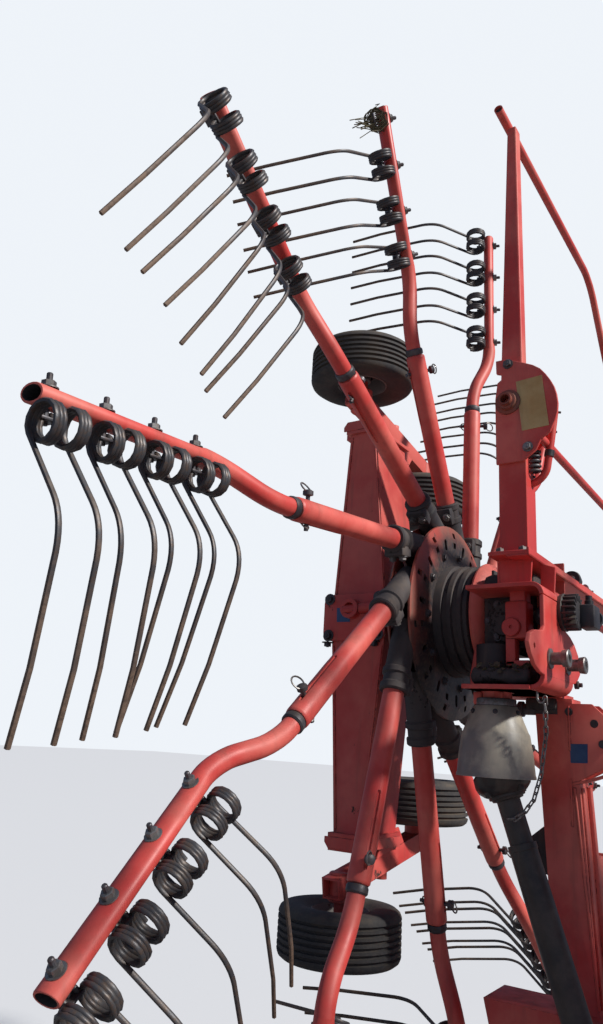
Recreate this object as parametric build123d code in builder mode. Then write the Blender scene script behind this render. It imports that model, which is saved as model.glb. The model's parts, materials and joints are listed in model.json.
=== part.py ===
from build123d import *
from math import cos, radians, sin
import os

# Folded twin rotor rake, 1:1, in millimetres.
# +X points forward (to the hitch), +Y to the left, +Z up.  The origin is on the ground,
# under the middle of the machine's length.  Both rotors stand folded upright: their axes
# lie along Y and their wheels point outward.  The left side is modelled and the right
# side is its mirror image.  Places on a rotor are given from its hub: forward, outward, up.

# Overall places
overall_length = 5060        # rear of the transport tyres to the front of the hitch pins
rotor_plane_y = 980          # plane of the rake arms, folded, from the machine's centre plane
hub_z = 2050                 # height of the folded rotor axis
fold_y = 720                 # fold hinge axis, which runs along X
fold_z = 750
axle_to_hub = 1850           # transport axle behind the rotor axis
running_fit = 0.05           # radial, on pins and axles that turn

# Rake arms
arm_count = 11
first_arm_angle = 185.8      # first arm, from +X towards +Z
arm_lead = 219               # how far each arm's line passes from the rotor axis
sleeve_start = 290
sleeve_end = 822
sleeve_dia = 58
arm_dia = 46
bend_start = 890
bend_end = 1060
bend_rise = 59               # the tine stretch stands off its sleeve's line, away from the tines
bend_back = -48              # and to the leading side, then slants back to the trailing side
tip_rise = 52
tip_back = 12
arm_tip = 1575
flat_height = 34             # the tine stretch is pressed to a flat-sided tube
flat_width = 52

# Double spring tines, one bolt each
tine_pitch = 135
tines_per_arm = 4
last_bolt = 1542
wire = 10
coil_dia = 74
coil_width = 34
coil_gap = 14
bolt_dia = 12
bolt_play = 0.8
coil_back = 39               # coil axis from the tube's axis, to the trailing side
coil_down = 49               # coil axis from the tube's axis, to the tine side
knee_down = 160
knee_back = 66
leg_down = 487

# Rotor head
head_radius = 170
head_top = 150               # drum, from the arm plane towards the gearbox
head_bottom = 55
ring_radius = 300
ring_thick = 10
ring_top = -46               # the two ring plates, from the arm plane outward
ring_bottom = 36
socket_dia = 80
socket_start = 120
socket_end = 330
running_gap = 6

# Gearbox, its bell over the head, main shaft and input
bell_radius = 143
bell_neck_radius = 100
bell_height = 45
gearbox_x = -85
gearbox_length = 290
gearbox_height = 260
gearbox_back = 345
shaft_dia = 90
input_x = -170
input_y = -235
input_boss_dia = 90
input_boss_root = 20         # how far the boss reaches into the housing
input_boss_end = 262
input_stub_dia = 45
cone_top = 250
cone_shoulder = 335
cone_rim = 442
cone_shoulder_dia = 155
cone_rim_dia = 200
cone_wall = 5

# Cradle round the gearbox
cradle_high = 165            # inner faces of the C, above and below the rotor axis
cradle_low = 215
cradle_plate = 12
cradle_x = -102
cradle_length = 394
cradle_y = -300
cradle_width = 220
cradle_hole_play = 5
neck_x = -218                # the back plate's neck
neck_width = 138
lobe_radius = 36
crank_pin_x = -172           # two pins of the height setting, on the back plate's lobes
crank_pin_z = -146
crank_pin_pitch = 155
crank_pin_dia = 34
crank_pin_reach = 45
crank_washer_dia = 50
crank_washer_thick = 8

# Fold arm and its foot
fold_arm_x = 45
fold_arm_depth = 90
fold_arm_width = 105
fold_arm_top_y = -340
fold_arm_end = 1000
fold_arm_end_y = -382
foot_x = 30
foot_y = -300
foot_length = 160
foot_width = 300
hinge_tube_dia = 110
cheek_thick = 12             # two cheeks that stand off the arm towards the machine's centre
cheek_top_z = -240
cheek_bottom_z = -450
cheek_reach_y = -520
lug_z = -640                 # lug on the other side, for the transport lock
lug_reach = 62
lug_radius = 28
lug_hole = 22
lug_thick = 20
hinge_pin_dia = 50

# Fold cylinder
cylinder_x = 190
barrel_pin_y = 140
barrel_pin_z = 800
rod_pin_y = 620
rod_pin_z = 1350
eye_radius = 36
eye_half = 25
neck_dia = 46
pin_dia = 40
barrel_dia = 80
barrel_length = 600
barrel_neck = 76
rod_dia = 40
rod_depth = 515
rod_play = 0.5
fork_half = 45
fork_play = 4
fork_size = 120
fork_web = 14
fork_slot_over = 2           # the slot runs past the fork's ends
barrel_ear_reach = 85
barrel_ear_height = 110
barrel_ear_z = 815

# Undercarriage under each rotor
small_tyre_dia = 370
small_tyre_width = 150
small_rim_dia = 165
small_axle_dia = 40
small_axle_reach = 40
small_wheel_drop = 304       # wheel axis from the arm plane
rear_wheel_x = -35
rear_wheel_z = 922
front_wheel_x = 469
front_wheel_z = 563
beam_x = -5
beam_depth = 210
beam_near = 137
beam_mid_width = 200
beam_end_y = 245
beam_end_width = 100
beam_end_z = 640
flange_lip = 12
flange_thick = 12
bracket_y = 248              # plate with a boss at the beam's rear
bracket_width = 225
bracket_z = 6
bracket_height = 150
bracket_thick = 12
bracket_corner = 30
boss_y = 252
boss_z = 30
boss_dia = 64
boss_length = 40
boss_bore = 36
pivot_x = 217
pivot_dia = 40
pivot_block = 90
pivot_inner = 700
bogie_tube = 60
bogie_wall = 6
bogie_hollow = 110
bogie_overhang = 60
bogie_rear_z = 800
bogie_front_z = 685

# Guard
guard_x = -200
guard_front_x = 1200
guard_y = -312
guard_depth = 80
guard_width = 80
guard_pivot_z = 595
guard_foot_radius = 40
guard_play = 6
guard_ear = 12
guard_ear_radius = 135
guard_ear_height = 315
guard_bar_z = 190
guard_bar = 60
hoop_tube = 45
hoop_top_z = 1640
hoop_stub = 60               # the tube's open end, past the upright
hoop_wall = 4
hoop_corner_x = 854
hoop_knee_x = 1450
hoop_knee_z = 1210
hoop_front_x = 1720

# Telescopic drive shafts
shaft_joint_y = 420
shaft_joint_z = 660
shaft_joint_drop = 400
shaft_ball = 76
shaft_ball_play = 0.5
shaft_tube_dia = 70
shaft_rod_dia = 50
shaft_tube_length = 690
shaft_rod_start = 60

# Central frame
beam_width = 160
beam_height = 160
beam_top = 1000
beam_past_swivel = 60
beam_tail = 80
cross_width = 140
cross_height = 130
cross_top = 800
end_plate = 80
hinge_reach = 80             # from the cross beam's end plates to the fold hinge
ear_play = 6
ear_thick = 20
ear_radius = 52

# Transport axle
road_tyre_dia = 760
road_tyre_width = 264
road_rim_dia = 390
road_track_half = 900
road_axle_dia = 70
hub_reach = 60
axle_tube = 110
axle_half = 720
post_length = 200

# Centre gearbox and the shaft to the hitch
centre_box_length = 200
centre_box_width = 300
centre_box_low = 90
line_z = 610
line_tube_dia = 60
pto_past_swivel = 20
pto_dia = 34.9
pto_length = 100
hanger_from_hub = 900
hanger_before_swivel = 120
hanger_thick = 20
hanger_width = 80

# Hitch headstock
hitch_z = 640
hitch_pin_dia = 28.4
hitch_pin_length = 80
swivel_to_pins = 365
bar_to_pins = 170
swivel_dia = 70
swivel_play = 6
swivel_plate = 20
swivel_width = 160
cross_bar = 80
cross_bar_half = 420
link_plate = 25
link_margin = 45

# Parking jack
jack_before_swivel = 370
jack_y = -130
jack_size = 80
jack_play = 0.3
jack_low = 330
jack_high = 1150
jack_cap = 18
jack_leg_size = 60
jack_foot = 220
jack_foot_thick = 20
jack_engaged = 300

# Worked out
road_radius = road_tyre_dia / 2
beam_bottom = beam_top - beam_height
axle_x = -overall_length / 2 + road_radius
hub_x = axle_x + axle_to_hub
beam_mid_y = beam_near + beam_mid_width / 2
cross_half = fold_y - hinge_reach - end_plate
hitch_x = overall_length / 2 - link_margin
swivel_x = hitch_x - swivel_to_pins
cross_bar_x = hitch_x - bar_to_pins
jack_x = swivel_x - jack_before_swivel

# Each arm, from the first one on:
# lift: how far the cam has swung the tines back, in degrees
# lost: missing legs, as (double tine counted from the tip, leg), leg 0 outer and 1 inner
arm_table = [
    {"lift": 86, "lost": []},
    {"lift": 88, "lost": [(1, 1)]},
    {"lift": 49, "lost": [(0, 0), (0, 1)]},
    {"lift": 21, "lost": [(3, 1)]},
    {"lift": 15, "lost": []},
    {"lift": 5, "lost": []},
    {"lift": 0, "lost": []},
    {"lift": 0, "lost": []},
    {"lift": 0, "lost": []},
    {"lift": 40, "lost": []},
    {"lift": 87, "lost": [(1, 1), (2, 1)]},
]
whole_table = [{"lift": row["lift"], "lost": []} for row in arm_table]


def at(x, y, z):
    """A point given from the left rotor's hub: forward, outward, up."""
    return (hub_x + x, rotor_plane_y + y, hub_z + z)


def arm_location(number, lift):
    """Arm frame: x out along the arm, y to the trailing side, z away from the tines."""
    angle = radians(first_arm_angle - number * 360 / arm_count)
    along = Vector(cos(angle), 0, sin(angle))
    trail = Vector(-sin(angle), 0, cos(angle))
    origin = Vector(*at(0, 0, 0)) - trail * arm_lead
    frame = Plane(origin=origin, x_dir=along, z_dir=(0, -1, 0))
    return frame.location * Location((0, 0, 0), (lift, 0, 0))


def stretch_at(r):
    """The tine stretch's axis at a distance r out: back to the trailing side, and away from the tines."""
    share = (r - bend_end) / (arm_tip - bend_end)
    return bend_back + (tip_back - bend_back) * share, bend_rise + (tip_rise - bend_rise) * share


# One arm at no lift, in its own frame
with BuildPart() as arm:
    with BuildSketch(Plane.YZ.offset(sleeve_start)):
        Circle(sleeve_dia / 2)
    extrude(amount=sleeve_end - sleeve_start)
    with BuildSketch(Plane.YZ.offset(sleeve_end)):
        Circle(arm_dia / 2)
    extrude(amount=bend_start - sleeve_end)
    with BuildSketch(Plane.YZ.offset(bend_start)):
        Circle(arm_dia / 2)
    with BuildSketch(Plane.YZ.offset(bend_end)):
        with Locations((bend_back, bend_rise)):
            Ellipse(flat_width / 2, flat_height / 2)
    loft()
    with BuildSketch(Plane.YZ.offset(bend_end)):
        with Locations((bend_back, bend_rise)):
            Ellipse(flat_width / 2, flat_height / 2)
    with BuildSketch(Plane.YZ.offset(arm_tip)):
        with Locations((tip_back, tip_rise)):
            Ellipse(flat_width / 2, flat_height / 2)
    loft()


def double_tine(legs):
    """The coils and the legs still there, the coil axis along x through the origin."""
    with BuildPart() as tine:
        with BuildSketch(Plane.YZ.offset(-coil_gap / 2 - coil_width)):
            RegularPolygon(coil_dia / 2, 10)
        extrude(amount=2 * coil_width + coil_gap)
        with BuildSketch(Plane.XY):
            with Locations((0, -coil_back + bolt_dia / 2)):
                Rectangle(bolt_dia, bolt_dia)
        extrude(amount=coil_down - flat_height / 2 - bolt_play)
        for leg in legs:
            x = (1 - 2 * leg) * (coil_gap / 2 + coil_width - wire / 2)
            points = [
                Vector(x, -coil_dia / 2 + wire / 2, 0),
                Vector(x, knee_back, -knee_down),
                Vector(x, 0, -leg_down),
            ]
            for start, end in zip(points, points[1:]):
                with BuildSketch(Plane(origin=start, z_dir=end - start, x_dir=(1, 0, 0))):
                    Rectangle(wire, wire)
                extrude(amount=(end - start).length + wire / 2)
    return tine.part


tine_kinds = {legs: double_tine(legs) for legs in ((0, 1), (0,), (1,))}


def tine_places(table):
    """Every double tine of a rotor: its location and the legs it still has."""
    for number, row in enumerate(table):
        place = arm_location(number, row["lift"])
        for count in range(tines_per_arm):
            r = last_bolt - count * tine_pitch
            legs = tuple(leg for leg in (0, 1) if (count, leg) not in row["lost"])
            if legs:
                back, rise = stretch_at(r)
                yield place * Location((r, back + coil_back, rise - coil_down)), legs


def all_arms():
    """The eleven arms of one rotor, each its own solid."""
    placed = [arm.part.moved(arm_location(number, row["lift"])) for number, row in enumerate(arm_table)]
    with BuildPart() as arms:
        add(placed)
    return arms.part


def all_tines(table):
    """The double tines of one rotor, each its own solid."""
    placed = [tine_kinds[legs].moved(place) for place, legs in tine_places(table)]
    with BuildPart() as tines:
        add(placed)
    return tines.part


os.makedirs("parts", exist_ok=True)


def save(part, name):
    part.label = name
    export_step(part, f"parts/{name}.step")


def save_pair(part, name):
    """The left piece, and its mirror image on the right."""
    save(part, f"{name}_left")
    save(mirror(part, about=Plane.XZ), f"{name}_right")


# Rotor head: drum and two ring plates that hold the arms' sockets
outward = Plane(origin=at(0, 0, 0), x_dir=(1, 0, 0), z_dir=(0, 1, 0))

with BuildPart() as rotor_head:
    with BuildSketch(outward.offset(-head_top)):
        Circle(head_radius)
    extrude(amount=head_top + head_bottom)
    for offset_out in (ring_top, ring_bottom):
        with BuildSketch(outward.offset(offset_out)):
            Circle(ring_radius)
        extrude(amount=ring_thick)
    for number in range(arm_count):
        place = arm_location(number, 0)
        with BuildSketch(Plane(place * Location((socket_start, 0, 0), (0, 90, 0)))):
            Circle(socket_dia / 2)
        extrude(amount=socket_end - socket_start)
    with BuildSketch(outward.offset(-head_top)):
        Circle(shaft_dia / 2 + running_fit)
    extrude(amount=head_top + head_bottom, mode=Mode.SUBTRACT)
    for number in range(arm_count):
        place = arm_location(number, 0)
        with BuildSketch(Plane(place * Location((sleeve_start, 0, 0), (0, 90, 0)))):
            Circle(sleeve_dia / 2)
        extrude(amount=socket_end - sleeve_start, mode=Mode.SUBTRACT)

# Gearbox: housing with its bell over the head, main shaft and input boss
bell_face = head_top + running_gap
bell_back = bell_face + bell_height
with BuildPart() as gearbox:
    with BuildSketch(outward.offset(-bell_back)):
        Circle(bell_neck_radius)
    with BuildSketch(outward.offset(-bell_face)):
        Circle(bell_radius)
    loft()
    with BuildSketch(outward.offset(-gearbox_back)):
        with Locations((gearbox_x, 0)):
            Rectangle(gearbox_length, gearbox_height)
    extrude(amount=gearbox_back - bell_back)
    with BuildSketch(outward.offset(-gearbox_back)):
        Circle(shaft_dia / 2)
    extrude(amount=gearbox_back + beam_near)
    with BuildSketch(Plane(origin=at(input_x, input_y, input_boss_root - gearbox_height / 2), z_dir=(0, 0, -1))):
        Circle(input_boss_dia / 2)
    extrude(amount=input_boss_end - gearbox_height / 2 + input_boss_root)
    with BuildSketch(Plane(origin=at(input_x, input_y, -input_boss_end), z_dir=(0, 0, -1))):
        Circle(input_stub_dia / 2)
    extrude(amount=shaft_joint_drop - shaft_ball / 2 - shaft_ball_play - input_boss_end)

# Guard cone over the gearbox's input: a thin shell, open below
with BuildPart() as shaft_cone:
    with BuildSketch(Plane(origin=at(input_x, input_y, 0), x_dir=(1, 0, 0), z_dir=(0, -1, 0))):
        with BuildLine():
            Polyline(
                (input_boss_dia / 2, -cone_top),
                (cone_shoulder_dia / 2, -cone_shoulder),
                (cone_rim_dia / 2, -cone_rim),
                (cone_rim_dia / 2 - cone_wall, -cone_rim),
                (cone_shoulder_dia / 2 - cone_wall, -cone_shoulder - cone_wall / 2),
                (input_boss_dia / 2, -cone_top - 3 * cone_wall),
                close=True,
            )
        make_face()
    revolve(axis=Axis(at(input_x, input_y, 0), (0, 0, 1)))

# Cradle: a C round the gearbox, open towards the hub, with a shaped back plate
back_plane = Plane(origin=at(0, cradle_y - cradle_width / 2, 0), x_dir=(1, 0, 0), z_dir=(0, -1, 0))
with BuildPart() as cradle:
    for low in (cradle_high, -cradle_low - cradle_plate):
        with BuildSketch(Plane.XY.offset(hub_z + low)):
            with Locations(at(cradle_x, cradle_y, 0)[:2]):
                Rectangle(cradle_length, cradle_width)
            with Locations(at(input_x, input_y, 0)[:2]):
                if low < 0:
                    Circle(input_boss_dia / 2 + cradle_hole_play, mode=Mode.SUBTRACT)
        extrude(amount=cradle_plate)
    with BuildSketch(back_plane):
        with Locations((crank_pin_x - 1.3 * crank_pin_pitch, -cradle_low / 2),
                       (crank_pin_x + 1.05 * crank_pin_pitch, -cradle_low / 2),
                       (crank_pin_x - crank_pin_pitch / 2, -cradle_low + lobe_radius / 2),
                       (crank_pin_x + crank_pin_pitch / 2, -cradle_low + lobe_radius / 2)):
            Circle(lobe_radius)
        make_hull()
        with Locations((neck_x, (cradle_high - cradle_low / 2) / 2)):
            Rectangle(neck_width, cradle_high + cradle_low / 2)
    extrude(amount=-cradle_plate)
    for step in (-1, 1):
        pin_place = (crank_pin_x + step * crank_pin_pitch / 2, crank_pin_z)
        with BuildSketch(back_plane):
            with Locations(pin_place):
                Circle(crank_pin_dia / 2)
        extrude(amount=crank_pin_reach)
        with BuildSketch(back_plane.offset(crank_pin_reach)):
            with Locations(pin_place):
                Circle(crank_washer_dia / 2)
        extrude(amount=crank_washer_thick)
    with BuildSketch(outward.offset(-gearbox_back - cradle_plate)):
        with Locations((gearbox_x, (cradle_low - cradle_high) / 2)):
            Rectangle(gearbox_length, cradle_high + cradle_low)
    extrude(amount=cradle_plate)

# Fold arm: a box beam from the cradle down to its foot on the fold hinge
hinge_axis_start = at(foot_x - foot_length / 2, fold_y - rotor_plane_y, fold_z - hub_z)
with BuildPart() as fold_arm:
    with BuildSketch(Plane.XY.offset(hub_z - cradle_low - cradle_plate)):
        with Locations(at(fold_arm_x, fold_arm_top_y, 0)[:2]):
            Rectangle(fold_arm_depth, fold_arm_width)
    with BuildSketch(Plane.XY.offset(hub_z - fold_arm_end)):
        with Locations(at(fold_arm_x, fold_arm_end_y, 0)[:2]):
            Rectangle(fold_arm_depth, fold_arm_width)
    loft()
    with BuildSketch(Plane.XY.offset(hub_z - fold_arm_end)):
        with Locations(at(foot_x, foot_y, 0)[:2]):
            Rectangle(foot_length, foot_width)
    with BuildSketch(Plane.XY.offset(fold_z + hinge_tube_dia / 3)):
        with Locations((hub_x + foot_x, fold_y)):
            Rectangle(foot_length, hinge_tube_dia * 0.85)
    loft()
    with BuildSketch(Plane(origin=hinge_axis_start, z_dir=(1, 0, 0))):
        Circle(hinge_tube_dia / 2)
    extrude(amount=foot_length)
    with BuildSketch(Plane(origin=hinge_axis_start, z_dir=(1, 0, 0))):
        Circle(hinge_pin_dia / 2 + running_fit)
    extrude(amount=foot_length, mode=Mode.SUBTRACT)
    # fork for the fold cylinder's rod, on the arm's front face
    rod_eye = at(cylinder_x, rod_pin_y - rotor_plane_y, rod_pin_z - hub_z)
    with Locations(at((fold_arm_x + fold_arm_depth / 2 + cylinder_x + fork_half) / 2,
                      rod_pin_y - rotor_plane_y, rod_pin_z - hub_z)):
        Box(cylinder_x + fork_half - fold_arm_x - fold_arm_depth / 2, fork_size, fork_size)
    with Locations((rod_eye[0], rod_eye[1] - fork_web, rod_eye[2])):
        Box(2 * (eye_half + fork_play), fork_size, fork_size + fork_slot_over, mode=Mode.SUBTRACT)
    for x in (fold_arm_x - fold_arm_depth / 2, fold_arm_x + fold_arm_depth / 2 - cheek_thick):
        with BuildSketch(Plane(origin=at(x, 0, 0), x_dir=(0, 1, 0), z_dir=(1, 0, 0))):
            with BuildLine():
                Polyline(
                    (fold_arm_top_y, cheek_top_z),
                    (fold_arm_top_y - fold_arm_width, cheek_top_z),
                    (cheek_reach_y, (2 * cheek_top_z + cheek_bottom_z) / 3),
                    (cheek_reach_y, (cheek_top_z + 2 * cheek_bottom_z) / 3),
                    (fold_arm_top_y - fold_arm_width / 2, cheek_bottom_z),
                    (fold_arm_top_y, cheek_bottom_z),
                    close=True,
                )
            make_face()
        extrude(amount=cheek_thick)
    lug_y = fold_arm_top_y + fold_arm_width / 2 + lug_reach - lug_radius
    with BuildSketch(Plane(origin=at(fold_arm_x - lug_thick / 2, 0, 0), x_dir=(0, 1, 0), z_dir=(1, 0, 0))):
        with Locations((lug_y, lug_z)):
            Circle(lug_radius)
        with Locations((fold_arm_top_y, lug_z + 2 * lug_radius), (fold_arm_top_y, lug_z - 2 * lug_radius)):
            Circle(lug_radius / 2)
        make_hull()
        with Locations((lug_y, lug_z)):
            Circle(lug_hole / 2, mode=Mode.SUBTRACT)
    extrude(amount=lug_thick)

# Fold cylinder: barrel on the frame, rod to the arm's fork
barrel_base = (hub_x + cylinder_x, barrel_pin_y, barrel_pin_z)
cylinder_line = Vector(0, rod_pin_y - barrel_pin_y, rod_pin_z - barrel_pin_z)
cylinder_length = cylinder_line.length
cylinder_dir = cylinder_line.normalized()


def eye_at(point, radius):
    """A plain eye across the cylinder, its axis along X."""
    with BuildPart() as eye:
        with BuildSketch(Plane(origin=Vector(*point) - Vector(eye_half, 0, 0), z_dir=(1, 0, 0))):
            Circle(radius)
        extrude(amount=2 * eye_half)
    return eye.part


with BuildPart() as cylinder_barrel:
    add(eye_at(barrel_base, eye_radius))
    with BuildSketch(Plane(origin=barrel_base, z_dir=cylinder_dir)):
        Circle(neck_dia / 2)
    extrude(amount=barrel_neck)
    with BuildSketch(Plane(origin=Vector(*barrel_base) + cylinder_dir * barrel_neck, z_dir=cylinder_dir)):
        Circle(barrel_dia / 2)
    extrude(amount=barrel_length - barrel_neck)
    with BuildSketch(Plane(origin=Vector(*barrel_base) + cylinder_dir * (barrel_length - rod_depth),
                           z_dir=cylinder_dir)):
        Circle(rod_dia / 2 + rod_play)
    extrude(amount=rod_depth + 1, mode=Mode.SUBTRACT)
    with BuildSketch(Plane(origin=Vector(*barrel_base) - Vector(eye_half, 0, 0), z_dir=(1, 0, 0))):
        Circle(pin_dia / 2 + running_fit)
    extrude(amount=2 * eye_half, mode=Mode.SUBTRACT)

with BuildPart() as cylinder_rod:
    add(eye_at(rod_eye, eye_radius))
    with BuildSketch(Plane(origin=rod_eye, z_dir=-cylinder_dir)):
        Circle(rod_dia / 2)
    extrude(amount=cylinder_length - barrel_length + rod_depth - rod_play)

# Undercarriage: a tapered beam across the rotor and a slanting bogie at each end
with BuildPart() as axle_beam:
    for side in (1, -1):
        with BuildSketch(Plane.XY.offset(hub_z)):
            with Locations(at(beam_x, beam_mid_y, 0)[:2]):
                Rectangle(beam_depth, beam_mid_width)
        with BuildSketch(Plane.XY.offset(hub_z + side * beam_end_z)):
            with Locations(at(beam_x, beam_end_y, 0)[:2]):
                Rectangle(beam_depth, beam_end_width)
        loft()
        with BuildSketch(Plane.XY.offset(hub_z + side * beam_end_z)):
            with Locations(at(beam_x, beam_end_y, 0)[:2]):
                Rectangle(beam_depth + 2 * flange_lip, beam_end_width + 2 * flange_lip)
        extrude(amount=side * flange_thick)
        with Locations(at((pivot_x + beam_x) / 2, small_wheel_drop,
                          side * (beam_end_z + flange_thick + pivot_inner) / 2)):
            Box(pivot_x - beam_x + pivot_block, pivot_block, pivot_inner - beam_end_z - flange_thick)
        with BuildSketch(Plane(origin=at(pivot_x, small_wheel_drop, side * pivot_inner), z_dir=(0, 0, side))):
            Circle(pivot_dia / 2)
        extrude(amount=bogie_rear_z - pivot_inner)
    beam_back = at(beam_x - beam_depth / 2, 0, 0)
    with BuildSketch(Plane(origin=beam_back, x_dir=(0, 1, 0), z_dir=(1, 0, 0))):
        with Locations((bracket_y, bracket_z)):
            RectangleRounded(bracket_width, bracket_height, bracket_corner)
    extrude(amount=-bracket_thick)
    with BuildSketch(Plane(origin=beam_back, x_dir=(0, 1, 0), z_dir=(1, 0, 0))):
        with Locations((boss_y, boss_z)):
            Circle(boss_dia / 2)
    extrude(amount=-boss_length)
    with BuildSketch(Plane(origin=beam_back, x_dir=(0, 1, 0), z_dir=(1, 0, 0))):
        with Locations((boss_y, boss_z)):
            Circle(boss_bore / 2)
    extrude(amount=-boss_length, mode=Mode.SUBTRACT)

with BuildPart() as bogies:
    for side in (1, -1):
        rear = Vector(*at(rear_wheel_x - bogie_overhang, small_wheel_drop, side * bogie_rear_z))
        front = Vector(*at(front_wheel_x + bogie_overhang, small_wheel_drop, side * bogie_front_z))
        with BuildSketch(Plane(origin=rear, z_dir=front - rear, x_dir=(0, 1, 0))):
            Rectangle(bogie_tube, bogie_tube)
        extrude(amount=(front - rear).length)
        for end, inward in ((rear, front - rear), (front, rear - front)):
            with BuildSketch(Plane(origin=end, z_dir=inward, x_dir=(0, 1, 0))):
                Rectangle(bogie_tube - 2 * bogie_wall, bogie_tube - 2 * bogie_wall)
            extrude(amount=bogie_hollow, mode=Mode.SUBTRACT)
        with BuildSketch(Plane(origin=at(pivot_x, small_wheel_drop, side * pivot_inner), z_dir=(0, 0, side))):
            Circle(pivot_dia / 2 + running_fit)
        extrude(amount=bogie_rear_z - pivot_inner, mode=Mode.SUBTRACT)
        for x, inner, wheel_z in ((rear_wheel_x, bogie_rear_z, rear_wheel_z),
                                  (front_wheel_x, bogie_front_z, front_wheel_z)):
            toward = 1 if wheel_z > inner else -1
            with BuildSketch(Plane(origin=at(x, small_wheel_drop, side * inner), z_dir=(0, 0, side * toward))):
                Circle(small_axle_dia / 2)
            extrude(amount=abs(wheel_z - inner) + small_axle_reach)


def wheel(center, axis, tyre_dia, tyre_width, rim_dia, bore):
    """A tyre on its rim, as one solid turned about its axle."""
    half = tyre_width / 2
    radius = tyre_dia / 2
    side = Plane(origin=center, x_dir=Vector(1, 0, 0), z_dir=Vector(1, 0, 0).cross(Vector(*axis)))
    with BuildPart() as tyre:
        with BuildSketch(side):
            with BuildLine():
                Polyline(
                    (bore / 2, -half * 0.55),
                    (rim_dia * 0.42, -half * 0.35),
                    (rim_dia / 2, -half * 0.82),
                    ((radius + rim_dia / 2) / 2, -half),
                    (radius - tyre_width * 0.12, -half * 0.92),
                    (radius, -half * 0.6),
                    (radius, half * 0.6),
                    (radius - tyre_width * 0.12, half * 0.92),
                    ((radius + rim_dia / 2) / 2, half),
                    (rim_dia / 2, half * 0.82),
                    (rim_dia * 0.42, half * 0.35),
                    (bore / 2, half * 0.55),
                    close=True,
                )
            make_face()
        revolve(axis=Axis(center, axis))
    return tyre.part


# Guard: a fixed lower frame on the cradle, and a hoop that folds on it
guard_base = hub_z + cradle_high + cradle_plate
pivot_height = hub_z + guard_pivot_z
hoop_back_x = guard_x - guard_depth / 2 - guard_ear - guard_play
with BuildPart() as guard_frame:
    for x, low in ((guard_x, guard_base), (guard_front_x, hub_z + guard_bar_z)):
        with BuildSketch(Plane.XY.offset(low)):
            with Locations(at(x, guard_y, 0)[:2]):
                Rectangle(guard_depth, guard_width)
        extrude(amount=pivot_height - guard_foot_radius - guard_play - low)
        for step in (-1, 1):
            ear = at(x + step * (guard_depth / 2 + guard_ear / 2), guard_y, guard_pivot_z)
            with BuildSketch(Plane(origin=Vector(*ear) - Vector(guard_ear / 2, 0, 0), z_dir=(1, 0, 0),
                                   x_dir=(0, 1, 0))):
                Circle(guard_ear_radius)
                Rectangle(guard_width, guard_ear_height)
                with Locations((-guard_ear_radius / 2, 0)):
                    Rectangle(guard_ear_radius + guard_width, guard_ear_height, mode=Mode.INTERSECT)
            extrude(amount=guard_ear)
    with Locations(at((guard_x + guard_front_x) / 2, guard_y, guard_bar_z + guard_bar / 2)):
        Box(guard_front_x - guard_x, guard_bar, guard_bar)
    with BuildSketch(Plane(origin=at(hoop_back_x, guard_y, guard_pivot_z), z_dir=(1, 0, 0))):
        Circle(hoop_tube / 2 + running_fit)
    extrude(amount=hoop_front_x - hoop_back_x, mode=Mode.SUBTRACT)

hoop_points = [
    at(guard_x - hoop_stub, guard_y, hoop_top_z),
    at(hoop_corner_x, guard_y, hoop_top_z),
    at(hoop_knee_x, guard_y, hoop_knee_z),
    at(hoop_front_x, guard_y, guard_pivot_z),
    at(hoop_back_x, guard_y, guard_pivot_z),
]
with BuildPart() as guard_hoop:
    with BuildSketch(Plane.XY.offset(pivot_height)):
        with Locations(at(guard_x, guard_y, 0)[:2]):
            Rectangle(guard_depth - 2 * guard_play, guard_width)
    with BuildSketch(Plane.XY.offset(hub_z + hoop_top_z)):
        with Locations(at(guard_x, guard_y, 0)[:2]):
            Rectangle(guard_depth - 2 * guard_play, guard_width * 0.55)
    loft()
    for x in (guard_x, guard_front_x):
        with BuildSketch(Plane(origin=at(x - guard_depth / 2 + guard_play, guard_y, guard_pivot_z),
                               z_dir=(1, 0, 0))):
            Circle(guard_foot_radius)
        extrude(amount=guard_depth - 2 * guard_play)
    for start, end in zip(hoop_points, hoop_points[1:]):
        with BuildSketch(Plane(origin=start, z_dir=Vector(*end) - Vector(*start))):
            Circle(hoop_tube / 2)
        extrude(amount=(Vector(*end) - Vector(*start)).length)
    for corner in hoop_points[1:-1]:
        with Locations(corner):
            Sphere(hoop_tube / 2)
    with BuildSketch(Plane(origin=hoop_points[0], z_dir=(1, 0, 0))):
        Circle(hoop_tube / 2 - hoop_wall)
    extrude(amount=hoop_stub, mode=Mode.SUBTRACT)

# Telescopic drive shaft from the centre gearbox to the rotor's gearbox
shaft_low = Vector(hub_x + input_x, shaft_joint_y, shaft_joint_z)
shaft_high = Vector(*at(input_x, input_y, -shaft_joint_drop))
shaft_line = shaft_high - shaft_low
shaft_dir = shaft_line.normalized()
with BuildPart() as shaft_tube:
    with BuildSketch(Plane(origin=shaft_low, z_dir=shaft_dir)):
        Circle(shaft_tube_dia / 2)
    extrude(amount=shaft_tube_length)
    with Locations(shaft_low):
        Sphere(shaft_ball / 2)
    with BuildSketch(Plane(origin=shaft_low + shaft_dir * shaft_rod_start, z_dir=shaft_dir)):
        Circle(shaft_rod_dia / 2 + rod_play)
    extrude(amount=shaft_tube_length, mode=Mode.SUBTRACT)
with BuildPart() as shaft_rod:
    with BuildSketch(Plane(origin=shaft_low + shaft_dir * (shaft_rod_start + rod_play), z_dir=shaft_dir)):
        Circle(shaft_rod_dia / 2)
    extrude(amount=shaft_line.length - shaft_rod_start - rod_play)
    with Locations(shaft_high):
        Sphere(shaft_ball / 2)

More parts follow.
